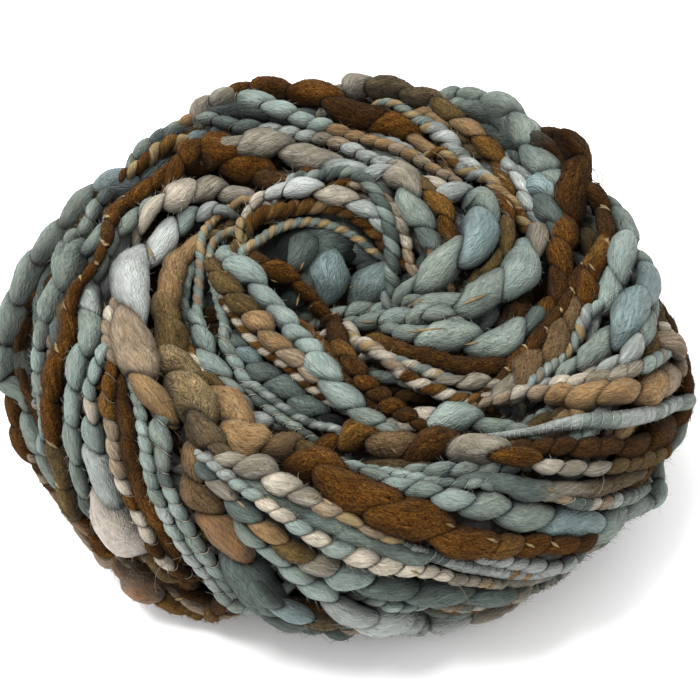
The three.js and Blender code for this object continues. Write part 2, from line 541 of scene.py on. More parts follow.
def wools_of(strand, share, number, dice):
    """The colour and the carded colour of the wool at each point of a strand's rings. A puff is of one wool,
    a ply of its own, and a roving goes over from one wool into the next."""
    names = strand["wools"]
    choice = share * (len(names) - 1)
    first, carded = wool_table(names, 0)
    if strand["kind"] in PLIED:
        other, other_carded = wool_table(names, -1)
        nearest, is_other = np.round(choice).astype(int), (number == 1)[..., None]
        wool = np.where(is_other, other[nearest], first[nearest])
        return wool, np.where(is_other, other_carded[nearest], carded[nearest])
    if strand["kind"] not in ("roving", "slub"):
        total = np.bincount(number.ravel(), weights=choice.ravel())
        choice = total / np.maximum(np.bincount(number.ravel()), 1)
        if strand["kind"] not in ("puffs", "fluff"):
            choice = choice + dice.uniform(-WOOL_STRAY, WOOL_STRAY, len(choice))
        choice = np.clip(np.round(choice), 0, len(names) - 1)[number]
    pick = np.clip(np.floor(choice), 0, len(names) - 1).astype(int)
    follow = np.minimum(pick + 1, len(names) - 1)
    part = (choice - pick)[..., None]
    wool = first[pick] * (1 - part) + first[follow] * part
    return wool, carded[pick] * (1 - part) + carded[follow] * part


# A puff keeps that much of its own middle's thickness, and sizes differ by that share of the unevenness.
# The lumps are waves along and around a strand. Its colour is painted darker on its sides, as painted
# shade from their neighbours, and paler on its top, as painted light, and every puff is a little paler or
# darker than the next.
FULLNESS = 0.85
SIZE_SPREAD = 0.7
LUMP_WAVES = ((0.32, 1), (0.55, -2), (0.95, 3))
LUMP_CREST = 1.5
SIDE_SHADE, TOP_LIGHT, LIT_BREADTH = 0.42, 1.22, 0.8
PUFF_SHADE = 0.10
NIP_DARK = 0.5
MAP_LENGTH = 900


def skin_of(strand, sides, seed):
    """The skin of one strand as rings of points, with its wool colours and where its thread nips it."""
    dice = np.random.default_rng(seed)
    kind = KINDS[strand["kind"]]
    table, nips = turned(strand)
    angle = np.linspace(-TURN / 2, TURN / 2, sides + 1)[None, :]
    place, turn, number, bow, waist, cap = ring_points(strand, nips, angle)
    read = np.stack([np.interp(place, np.arange(len(nips)), column) for column in table.T], axis=-1)
    middle, tangents, normals, sideways = (read[..., 3 * k : 3 * k + 3] for k in range(4))
    # The last column is the strand's painted shade, darker where it is pressed deep.
    radius, share, painted_depth_shade = read[..., RADIUS], read[..., SHARE], read[..., SHADE]
    sizes = 1 + kind["uneven"] * dice.uniform(-SIZE_SPREAD, SIZE_SPREAD, number.max() + 2)
    full = radius
    if strand["kind"] not in ("roving", "slub", *PLIED):
        own = np.interp(math.floor(nips[0]) + 0.5 + np.arange(number.max() + 1), nips, strand["radius"])
        full = radius + (own[number] - radius) * FULLNESS
    swell = radius * waist * (1 - bow) + full * sizes[number] * bow
    starts = dice.uniform(0, TURN, 3)
    gone = place * strand["step"] / MM
    lumps = sum(
        np.sin(gone * rate + turns * turn + start) for (rate, turns), start in zip(LUMP_WAVES, starts)
    )
    rings = swell * (1 + kind["lump"] * lumps / LUMP_CREST) * cap
    outward = normals * (np.cos(turn) * kind["flat"])[..., None] + sideways * np.sin(turn)[..., None]

    wool, streak = wools_of(strand, share, number, dice)
    shade = 1 + dice.uniform(-PUFF_SHADE, PUFF_SHADE, number.max() + 2)
    # Painted light and shade: the strand's colour is darker on its sides and paler on its top.
    lit = SIDE_SHADE + (TOP_LIGHT - SIDE_SHADE) * np.clip(np.cos(turn), 0, 1) ** LIT_BREADTH
    wool[..., :3] *= (shade[number] * painted_depth_shade * lit)[..., None]
    streak[..., :3] *= (painted_depth_shade * lit)[..., None]
    around = angle * float(strand["radius"].mean()) / MM + dice.uniform(0, MAP_LENGTH)
    own_map = np.stack([gone + dice.uniform(0, MAP_LENGTH), np.broadcast_to(around, place.shape)], -1)
    return {
        "skin": middle + outward * rings[..., None], "outward": outward, "tangents": tangents,
        "wool": wool, "streak": streak, "uv": own_map,
        # The crown falls in the nips, where the material mixes in carded colour and paints shade.
        "crown": (1 - (1 - bow) * np.clip((1 - waist) / NIP_DARK, 0, 1))[..., None],
    }


# The fibre's grain. Combed wool shows fine fibres that slant round the strand and cross each other, with
# darker and paler ones carded in. Where the wool is lofty they stand up, and the strand looks like felt.
LAYER_APART = 7
LAYER_ROUGHNESS = 0.65
WANDER_SCALE = 0.25
OVER_SHARE = 0.6
# A row is a layer of fibres: how much of the slant it leans, how far it strays, its fineness along and
# around the strand, its detail, and the two ends between which it shows. A hair lies at noise's middle.
GRAIN_LAYERS = {
    "streak": (1.0, 1.2, (0.11, 1.00), 2, (0.44, 0.66)),
    "over": (1.0, 0.8, (0.24, 1.90), 1, (0.41, 0.59)),
    "under": (-0.7, 0.8, (0.34, 2.50), 1, (0.41, 0.59)),
    "felt": (0.6, 0.6, (1.40, 2.60), 2, (0.38, 0.62)),
    "hair": (1.2, 2.5, (0.10, 0.55), 1, (0.045, 0)),
    "hair_across": (-0.9, 2.5, (0.12, 0.60), 1, (0.045, 0)),
    "hair_gap": (0.3, 2.5, (0.10, 0.70), 1, (0.045, 0)),
}


def worked(tree, operation, *sources):
    """The sum, product or the like of values in a shader tree."""
    return added(tree, "Math", dict(enumerate(sources)), operation=operation).outputs["Value"]


def ranged(tree, value, low, high, to_low=0, to_high=1, kind="LINEAR"):
    """A value of a shader tree, read off between two ends."""
    ends = {"Value": value, "From Min": low, "From Max": high, "To Min": to_low, "To Max": to_high}
    return added(tree, "MapRange", ends, interpolation_type=kind).outputs["Result"]


def grain_group():
    """The shader group for combed fibre, read from a strand's own map in mm along and mm around."""
    group = bpy.data.node_groups.new("fibre_grain", "ShaderNodeTree")
    for name, kind in (("Map", "Vector"), ("Slant", "Float")):
        group.interface.new_socket(name=name, in_out="INPUT", socket_type="NodeSocket" + kind)
    for name in ("Streak", "Fibre", "Felt", "Hair"):
        group.interface.new_socket(name=name, in_out="OUTPUT", socket_type="NodeSocketFloat")
    given = group.nodes.new("NodeGroupInput").outputs
    parts = added(group, "SeparateXYZ", {"Vector": given["Map"]}).outputs
    wander = added(group, "TexNoise", {"Vector": given["Map"], "Scale": WANDER_SCALE, "Detail": 1})
    shown = {}
    for number, (name, (lean, stray, scale, detail, ends)) in enumerate(GRAIN_LAYERS.items()):
        leaning = worked(group, "MULTIPLY", given["Slant"], lean)
        slanted = worked(group, "MULTIPLY_ADD", parts["X"], leaning, parts["Y"])
        strayed = worked(group, "MULTIPLY_ADD", wander.outputs["Fac"], stray, slanted)
        combed = added(group, "CombineXYZ", {"X": parts["X"], "Y": strayed, "Z": LAYER_APART * number})
        drawn = added(group, "Mapping", {"Vector": combed.outputs["Vector"], "Scale": (*scale, 1)})
        value = added(group, "TexNoise", {
            "Vector": drawn.outputs["Vector"], "Scale": 1, "Detail": detail, "Roughness": LAYER_ROUGHNESS,
        }).outputs["Fac"]
        if name.startswith("hair"):
            value = worked(group, "ABSOLUTE", worked(group, "SUBTRACT", value, 0.5))
        shown[name] = ranged(group, value, *ends)
    under = worked(group, "MULTIPLY", shown["under"], 1 - OVER_SHARE)
    hairs = worked(group, "MAXIMUM", shown["hair"], shown["hair_across"])
    fed(group, group.nodes.new("NodeGroupOutput"), {
        "Streak": shown["streak"],
        "Fibre": worked(group, "MULTIPLY_ADD", shown["over"], OVER_SHARE, under),
        "Felt": shown["felt"],
        "Hair": worked(group, "SUBTRACT", hairs, shown["hair_gap"]),
    })
    return group


# How the wool reads its loft, silk, nips and noise: the value's two ends, and mostly what they stand for.
FELT_BY_LOFT = (0.4, 1.2, 0.10, 0.85)
HAIR_BY_LOFT = (0.4, 1.2, 0.16, 0.45)
LIVELY_BY_LOFT = (0.35, 1.2)
HEIGHT_BY_LOFT = (0.3, 1.3, 0.42, 0.62)
ROUGH_BY_SILK = (0, 1, 0.92, 0.28)
GLOSS_BY_SILK = (0, 0.6, 0.04, 0.60)
CARDED_BY_CROWN = (0, 0.9, 1, 0)
# The crown's range over which the nips get their painted shade.
LIT_BY_CROWN = (0, 0.75)
SHADE_BY_CLOUD = (0.3, 0.7, 0.74, 1.20)
CLOUD_SCALE = 110
NIP_CARDED = 0.30
HAIR_HEIGHT = 0.5
FIBRE_HEIGHT = 0.55 * MM
FIBRE_STRENGTH = 0.9
SHEEN_ROUGHNESS = 0.35
grain = grain_group()


def fibre_material(name, slant, calm, lively, nip_shade, carding, sheen):
    """Wool from the strand's own colours: carded streaks and fine fibres, with painted shade in the nips. A
    smooth wool is calm, and a lofty one is lively and felt-like."""
    material, tree, shader = new_material(name)
    wool, streak, crown = (
        added(tree, "Attribute", {}, attribute_name=key).outputs for key in ("wool", "streak", "crown")
    )
    own_map = added(tree, "UVMap", {}, uv_map="yarn").outputs["UV"]
    fibres = added(tree, "Group", {"Map": own_map, "Slant": slant}, node_tree=grain).outputs
    loft, silk = streak["Alpha"], wool["Alpha"]
    own_share = worked(tree, "MULTIPLY", fibres["Streak"], carding)
    in_nips = ranged(tree, crown["Fac"], *CARDED_BY_CROWN)
    share = worked(tree, "MULTIPLY_ADD", in_nips, NIP_CARDED, own_share)
    carded = added(
        tree, "Mix", {"Factor": share, "A": wool["Color"], "B": streak["Color"]}, data_type="RGBA"
    )
    felty = ranged(tree, loft, *FELT_BY_LOFT)
    felted = added(tree, "Mix", {"Factor": felty, "A": fibres["Fibre"], "B": fibres["Felt"]})
    pattern = felted.outputs["Result"]
    liveliness = ranged(tree, loft, *LIVELY_BY_LOFT, calm, lively)
    tone = worked(tree, "MULTIPLY_ADD", ranged(tree, pattern, 0, 1, -1, 1), liveliness, 1)
    tone = worked(tree, "MULTIPLY_ADD", fibres["Hair"], ranged(tree, loft, *HAIR_BY_LOFT), tone)
    place = added(tree, "TexCoord", {}).outputs["Object"]
    cloud = added(tree, "TexNoise", {"Vector": place, "Scale": CLOUD_SCALE, "Detail": 2})
    cloudy = ranged(tree, cloud.outputs["Fac"], *SHADE_BY_CLOUD)
    # Painted shade: the colour darkens towards the nips, where the crown is low.
    nip = ranged(tree, crown["Fac"], *LIT_BY_CROWN, nip_shade, 1, "SMOOTHSTEP")
    tint = worked(tree, "MULTIPLY", worked(tree, "MULTIPLY", tone, nip), cloudy)
    tinted = added(
        tree, "VectorMath", {"Vector": carded.outputs["Result"], "Scale": tint}, operation="SCALE"
    )
    raised = worked(tree, "MULTIPLY_ADD", fibres["Hair"], HAIR_HEIGHT, pattern)
    height = worked(tree, "MULTIPLY", raised, ranged(tree, loft, *HEIGHT_BY_LOFT))
    bump = added(tree, "Bump", {"Strength": FIBRE_STRENGTH, "Distance": FIBRE_HEIGHT, "Height": height})
    fed(tree, shader, {
        "Base Color": tinted.outputs["Vector"], "Normal": bump.outputs["Normal"],
        "Roughness": ranged(tree, silk, *ROUGH_BY_SILK),
        "Specular IOR Level": ranged(tree, silk, *GLOSS_BY_SILK),
        "Sheen Weight": sheen, "Sheen Roughness": SHEEN_ROUGHNESS,
    })
    return material


spun_wool = fibre_material("spun_wool", 0.4, 0.12, 0.66, 0.30, 0.65, 0.02)


def numbered(skins):
    """The numbers of each skin's points, ring by ring, where the points of all of them stand in one row."""
    start = 0
    for skin in skins:
        rows, columns = skin["skin"].shape[:2]
        yield np.arange(start, start + rows * columns).reshape(rows, columns)
        start += rows * columns


def columns_of(skins, *keys):
    """The points of some skins in one table, with the columns asked for."""
    return np.concatenate([
        np.concatenate([skin[key].reshape(-1, skin[key].shape[-1]) for key in keys], axis=1)
        for skin in skins
    ])


SEAM_GAP = 0.0005 * MM


def spun_piece(name, parts, material):
    """Joins strands into one piece. Each is a grid rolled up into a closed tube along its own middle line."""
    tubes = bmesh.new()
    for part in parts:
        rows, columns = part["skin"].shape[:2]
        bmesh.ops.create_grid(tubes, x_segments=columns - 1, y_segments=rows - 1, size=1)
    mesh = bpy.data.meshes.new(name)
    tubes.to_mesh(mesh)
    tubes.free()
    mesh.vertices.foreach_set("co", columns_of(parts, "skin").ravel())
    for key in ("wool", "streak"):
        colours = mesh.attributes.new(key, "FLOAT_COLOR", "POINT").data
        colours.foreach_set("color", columns_of(parts, key).ravel())
    crowns = mesh.attributes.new("crown", "FLOAT", "POINT").data
    crowns.foreach_set("value", columns_of(parts, "crown").ravel())
    corners = np.empty(len(mesh.loops), dtype=np.int32)
    mesh.loops.foreach_get("vertex_index", corners)
    mesh.uv_layers.new(name="yarn").data.foreach_set("uv", columns_of(parts, "uv")[corners].ravel())
    tubes = bmesh.new()
    tubes.from_mesh(mesh)
    tubes.verts.ensure_lookup_table()
    seams = []
    for numbers in numbered(parts):
        seams.extend([*numbers[0], *numbers[-1], *numbers[1:-1, 0], *numbers[1:-1, -1]])
    bmesh.ops.remove_doubles(tubes, verts=[tubes.verts[k] for k in seams], dist=SEAM_GAP)
    tubes.to_mesh(mesh)
    tubes.free()
    wool_piece(name, mesh, material)


# A ring has the first of these counts of sides whose thickness in mm its strand passes.
RING_SIDES = ((11, 24), (8, 16), (4.6, 12), (0, 10))


def sides_of(strand):
    """How many sides a strand's rings need for its thickness."""
    thickness = strand["radius"].max() * 2 / MM
    return next(sides for passed, sides in RING_SIDES if thickness > passed)


loose_skins = []


def wind(name, rows):
    """Lays the strands of a table, the lowest first, and joins them into one piece."""
    group = [lay(*row) for row in sorted(rows, key=lambda row: row[1])]
    skins = [skin_of(strand, sides_of(strand), len(loose_skins) + k) for k, strand in enumerate(group)]
    loose_skins.extend(skins)
    spun_piece(name, skins, spun_wool)


# The eye's inside, which lies deepest and is laid first. Near-black strands and slubs, whose colour is
# painted shade, line its far wall with slate ones, a slate slub lies at its left, and two fluffy blue teal
# slubs lie on its floor.
EYE_FLOOR = [
    ("roving", -4, "pine pine slate pine pine",
     [(262, 266, 7), (280, 240, 9), (312, 228, 10), (345, 232, 10), (374, 246, 9), (392, 276, 7)]),
    ("roving", -4, "pine pine slate pine",
     [(276, 282, 8), (296, 256, 10), (325, 246, 10), (356, 250, 10), (382, 272, 8)]),
    ("roving", -2, "pine slate pine",
     [(284, 306, 6), (298, 290, 8), (314, 270, 6)]),
    ("slub", 0.5, "pine pine slate pine pine",
     [(268, 268, 6), (288, 254, 11), (318, 246, 13), (346, 250, 11), (368, 264, 6)]),
    ("slub", 2, "slate slate pine",
     [(284, 272, 4), (290, 260, 9), (300, 250, 10), (312, 244, 8), (322, 241, 3)]),
    ("slub", 2.5, "slate slate lagoon slate",
     [(344, 311, 3), (352, 303, 8), (364, 292, 11.5), (377, 281, 11), (388, 271, 7), (396, 263, 3)]),
    ("slub", 4, "slate lagoon lagoon lagoon slate",
     [(342, 243, 3), (335, 254, 10), (328, 268, 14.5), (322, 283, 15), (318, 297, 11), (317, 308, 3)]),
]
wind("eye_floor", EYE_FLOOR)


# The outer coil's left side. From the rim inwards: teal puffs, a brown strand that thins to a ply, teal
# slubs, the brown strand with flax, pale teal slubs, white and cream slubs and two strands of teal beads.
# Dark rovings lie deep under the rim's strands, where the gaps between them would show the floor.
OUTER_LEFT = [
    ("roving", -1.5, "bark slate bark",
     [(22, 330, 7), (27, 362, 9), (32, 398, 9), (40, 440, 8)]),
    ("roving", -1.5, "bark bark",
     [(28, 334, 5), (34, 317, 6.5), (42, 300, 6)]),
    ("roving", -1.5, "slate bark slate",
     [(68, 252, 5), (82, 237, 6.5), (96, 223, 6.5), (112, 208, 5)]),
    ("puffs", -1, "teal teal teal teal teal teal lagoon",
     [(13, 388, 8), (11, 362, 9), (17, 318, 11), (40, 277, 9), (62, 248, 8), (90, 213, 8),
      (124, 184, 8.5)]),
    ("puffs", 0, "bark chestnut chestnut chestnut chestnut chestnut bark",
     [(22, 372, 5.5), (27, 405, 6.5), (34, 437, 7.5), (50, 477, 7.5), (80, 507, 8), (105, 542, 8.5),
      (124, 560, 6)]),
    ("ply", 0.5, "bark+beige rust+beige bark+beige bark+flax chestnut+flax rust+flax",
     [(22, 372, 4), (19, 345, 3.8), (23, 322, 4.2), (31, 300, 3.8), (39, 280, 3.5), (51, 260, 3.5),
      (58, 244, 3.2), (72, 232, 4.4), (86, 219, 4.7), (103, 206, 5), (122, 194, 4.4), (136, 183, 4.4),
      (151, 172, 4.4), (166, 160, 5.5), (184, 151, 5.5)]),
    ("puffs", 0, "mint teal mint teal teal teal teal teal",
     [(46, 446, 3.8), (42, 405, 3.5), (38, 362, 5), (42, 335, 6), (52, 303, 8), (77, 265, 10.5),
      (98, 238, 5.5), (112, 216, 5)]),
    ("flaxed", 1, "beige camel chestnut chestnut chestnut bark chestnut chestnut",
     [(118, 556, 5), (95, 524, 5.5), (74, 492, 6), (62, 465, 6.5), (54, 438, 6.8), (50, 410, 7),
      (53, 383, 7), (61, 355, 6.6), (71, 330, 6), (78, 306, 5), (90, 282, 3.5), (104, 258, 3.2),
      (111, 240, 4.4), (118, 220, 5.5), (128, 204, 6), (146, 190, 5.5), (166, 175, 5.8), (184, 164, 6)]),
    ("fluff", 1, "chestnut chestnut chestnut bark bark",
     [(176, 176, 6), (192, 164, 9), (213, 156, 12.5), (248, 171, 12), (278, 183, 7), (300, 190, 4)]),
    ("puffs", 0.5, "teal teal teal teal silver teal mint mint teal teal slate",
     [(150, 205, 5.5), (128, 222, 5.5), (111, 243, 5.5), (101, 264, 5), (89, 293, 8.5), (91, 333, 7.5),
      (77, 366, 6.4), (72, 405, 6), (73, 441, 5.3), (79, 478, 5.3), (91, 508, 5.5)]),
    ("puffs", 0.8, "mint mint mint cream mint silver shell camel",
     [(103, 352, 3.8), (95, 372, 4.4), (89, 390, 4.2), (91, 408, 4.2), (94, 432, 7.6), (100, 466, 10),
      (125, 524, 13.5), (166, 574, 4)]),
    ("beads", 0, "beige cream beige beige chestnut rust beige beige cream chestnut cream bark cream bark",
     [(116, 300, 3.5), (108, 320, 4.1), (108, 340, 4.1), (112, 360, 3.5), (112, 385, 4.7), (110, 408, 5.3),
      (112, 430, 4.7), (117, 452, 4.7), (125, 482, 4.4), (134, 505, 4.4), (146, 522, 4.1), (157, 540, 4.1),
      (170, 556, 4.1), (190, 575, 4)]),
    ("roving", -0.8, "bark bark bark chestnut bark chestnut bark",
     [(119, 380, 4.5), (127, 422, 5.5), (131, 452, 6.5), (140, 480, 7.5), (155, 508, 8), (172, 545, 8),
      (190, 580, 8), (215, 597, 7), (240, 603, 5)]),
    ("puffs", 0.6, "orange orange rust rust bark",
     [(118, 556, 5), (148, 573, 11), (178, 589, 8), (206, 596, 8), (234, 602, 4.5)]),
    ("beads", 1, "slate teal mint teal teal silver mint silver silver teal teal",
     [(133, 385, 3.5), (139, 405, 3.5), (142, 425, 3.8), (146, 447, 4), (151, 468, 4.2), (153, 485, 4.4),
      (160, 502, 4.4), (168, 520, 4.7), (178, 537, 4.4), (190, 555, 4.4), (203, 571, 4.1), (218, 583, 3.8),
      (236, 595, 3.8), (255, 600, 3.5)]),
    ("beads", 0.6, "teal teal slate mint teal teal mint teal",
     [(158, 425, 6), (163, 447, 7), (162, 470, 4.4), (169, 490, 3.8), (177, 508, 4.1), (187, 528, 4.4),
      (197, 545, 4.4), (209, 561, 4.4), (221, 575, 4.1), (233, 588, 3.8)]),
    ("puffs", 0.5, "camel mushroom mushroom orange slate slate slate",
     [(197, 432, 6), (196, 462, 8.5), (200, 493, 10.5), (226, 530, 12.8), (253, 574, 14), (300, 612, 11),
      (348, 630, 8.5)]),
]
wind("outer_left", OUTER_LEFT)


# The outer coil's top rim: fluffy brown slubs, an olive and rust strand, teal slubs and a dark brown one
# along the edge, with rows of beads, plies and taupe slubs inside them. Dark rovings close the gaps below.
TOP_RIM = [
    ("roving", -2.5, "slate slate slate",
     [(208, 125, 6), (234, 119, 7), (264, 118, 7), (292, 124, 6)]),
    ("roving", -3.5, "slate slate slate",
     [(150, 160, 5), (172, 143, 6), (198, 134, 5)]),
    ("roving", -1.5, "slate bark bark",
     [(522, 132, 8), (548, 152, 10), (566, 180, 8)]),
    ("roving", -1, "teal slate teal",
     [(448, 112, 7), (480, 122, 9), (512, 136, 8)]),
    ("fluff", -0.2, "chestnut chestnut chestnut chestnut bark chestnut tan flax",
     [(222, 112, 5), (243, 103, 6), (272, 93, 10), (313, 102, 9.8), (354, 115, 9.5), (399, 127, 9.5),
      (428, 149, 4.7), (450, 166, 3.5)]),
    ("puffs", -0.4, "taupe taupe olive olive camel tan rust rust rust",
     [(334, 95, 5), (353, 87, 9.5), (391, 90, 10), (424, 104, 8), (446, 119, 7.5), (468, 131, 6),
      (490, 151, 7), (504, 182, 6), (514, 208, 4)]),
    ("puffs", -0.5, "tan mushroom olive",
     [(438, 124, 5.5), (456, 138, 6.5), (476, 152, 5)]),
    ("puffs", 0.5, "teal teal teal teal teal teal",
     [(446, 104, 6), (468, 109, 7.6), (499, 120, 9.8), (521, 145, 11.5), (546, 168, 9), (560, 184, 6)]),
    ("puffs", 0.6, "silver lagoon slate slate",
     [(515, 172, 4.5), (541, 191, 11), (548, 221, 8), (556, 242, 4)]),
    ("fluff", 1, "bark bark bark chestnut chestnut bark chestnut bark bark",
     [(541, 143, 6), (565, 156, 10), (575, 197, 10.5), (564, 238, 9.3), (560, 263, 8.5), (558, 291, 7.5),
      (545, 316, 7), (529, 337, 7), (514, 357, 5)]),
    ("flaxed", 1.5, "bark bark rust bark bark chestnut bark bark",
     [(588, 198, 6), (602, 212, 6.5), (608, 232, 6), (602, 250, 6), (588, 266, 5.5), (577, 284, 5),
      (566, 304, 4.4), (548, 326, 4.4), (532, 343, 5), (520, 358, 4.4), (507, 373, 4), (493, 388, 3.8),
      (478, 399, 3.5), (460, 406, 3)]),
    ("beads", 1, "taupe taupe mint mint mint beige tan beige tan beige",
     [(200, 121, 7), (230, 109, 8), (256, 111, 6.8), (280, 117, 6), (302, 122, 5.3), (325, 130, 5),
      (343, 135, 4.7), (372, 141, 4), (402, 151, 4), (430, 167, 3.8), (455, 182, 3.5)]),
    ("beads", 0.6, "teal slate teal tan teal slate silver silver taupe beige silver silver taupe",
     [(138, 172, 5), (155, 155, 5.8), (176, 141, 4.4), (197, 130, 4.4), (222, 129, 4.4), (252, 129, 5.8),
      (285, 133, 5), (312, 137, 4.4), (335, 142, 4.4), (354, 151, 5), (380, 163, 5), (403, 173, 4.4)]),
    ("ply", 0.3, "teal+flax teal+flax white+silver white+teal slate+silver",
     [(394, 103, 3.2), (416, 118, 3.8), (434, 134, 6), (455, 154, 6), (477, 172, 5),
      (494, 190, 4)]),
    ("puffs", 1, "taupe taupe taupe silver silver",
     [(216, 151, 4.5), (258, 149, 8.8), (313, 161, 10.8), (352, 171, 6), (374, 178, 4)]),
    ("puffs", 0, "taupe cream silver silver slate",
     [(403, 173, 4.5), (432, 186, 5.5), (460, 194, 5), (484, 205, 4.5), (500, 222, 3.5)]),
    ("ply", 0.8, "rust+flax silver+flax tan+flax rust+flax silver+flax",
     [(440, 158, 3.8), (458, 170, 4), (480, 181, 4.4), (496, 196, 4.7), (512, 208, 4.7), (524, 225, 4.4),
      (540, 240, 4), (552, 252, 3.5)]),
    ("puffs", 0.3, "silver white silver teal slate",
     [(508, 168, 3.8), (519, 186, 4.5), (527, 206, 5.5), (538, 223, 6), (553, 237, 4)]),
]
wind("top_rim", TOP_RIM)


# The outer coil's right side: pale and blue teal slubs round the edge, brown and tan slubs, rows of cream
# beads, the dark brown strand that reaches furthest, and the thin teal silk strand across them.
OUTER_RIGHT = [
    ("puffs", 0.5, "teal teal mint mint silver",
     [(600, 206, 5), (621, 232, 7.5), (622, 262, 8.8), (608, 294, 8.2), (592, 322, 5.5)]),
    ("ply", 0.5, "silver+mint mint+flax silver+teal mint+taupe",
     [(596, 316, 5), (582, 334, 4.4), (569, 350, 4), (556, 365, 3.8), (542, 379, 3.8), (527, 391, 3.5)]),
    ("puffs", 0, "teal lagoon lagoon teal teal slate",
     [(634, 262, 6), (640, 288, 8), (627, 322, 10.5), (594, 354, 10), (565, 371, 4.5), (545, 381, 3)]),
    ("puffs", -0.5, "teal teal teal silver silver taupe",
     [(638, 275, 6), (649, 302, 6.5), (644, 331, 5.5), (628, 356, 6), (608, 368, 4.5), (585, 375, 3.5)]),
    ("puffs", -1.2, "chestnut camel chestnut",
     [(654, 322, 5), (646, 345, 8), (630, 366, 5)]),
    ("beads", 0.3, "cream mint mint taupe taupe taupe cream silver cream taupe flax",
     [(664, 330, 4), (671, 346, 4.1), (660, 356, 4.4), (644, 366, 4.7), (622, 374, 4.7), (598, 380, 5),
      (572, 384, 5), (546, 388, 5.5), (520, 394, 5), (497, 400, 3.5), (470, 406, 3)]),
    ("puffs", 0.7, "beige beige tan tan tan tan beige cream beige flax flax",
     [(662, 342, 6), (673, 372, 9.5), (649, 387, 10), (618, 396, 9), (586, 398, 8.2), (560, 399, 6.5),
      (540, 400, 5.5), (520, 399, 4.7), (498, 403, 3.5), (468, 408, 2.8), (440, 411, 2.5)]),
    ("puffs", 1, "bark bark bark bark bark bark bark bark bark bark bark",
     [(672, 388, 6.5), (673, 410, 11), (655, 436, 9.5), (632, 446, 6.5), (606, 447, 6), (584, 447, 5.8),
      (562, 447, 5.5), (540, 447, 5.5), (520, 448, 5), (500, 450, 4.5), (478, 453, 4)]),
    ("wrapped", 1.2, "teal silver teal silver silver silver silver",
     [(680, 398, 4.5), (662, 410, 4.7), (640, 416, 5), (615, 420, 5.2), (588, 421, 4.7), (560, 425, 3.8),
      (535, 431, 2.8), (505, 435, 2.2), (475, 438, 1.8), (450, 440, 1.6)]),
    ("puffs", 0.5, "chestnut chestnut mushroom mushroom mushroom taupe cream",
     [(600, 268, 5), (589, 296, 8.5), (571, 319, 9), (549, 346, 11), (521, 378, 10.5), (498, 396, 5.5),
      (478, 403, 3.5)]),
]
wind("outer_right", OUTER_RIGHT)


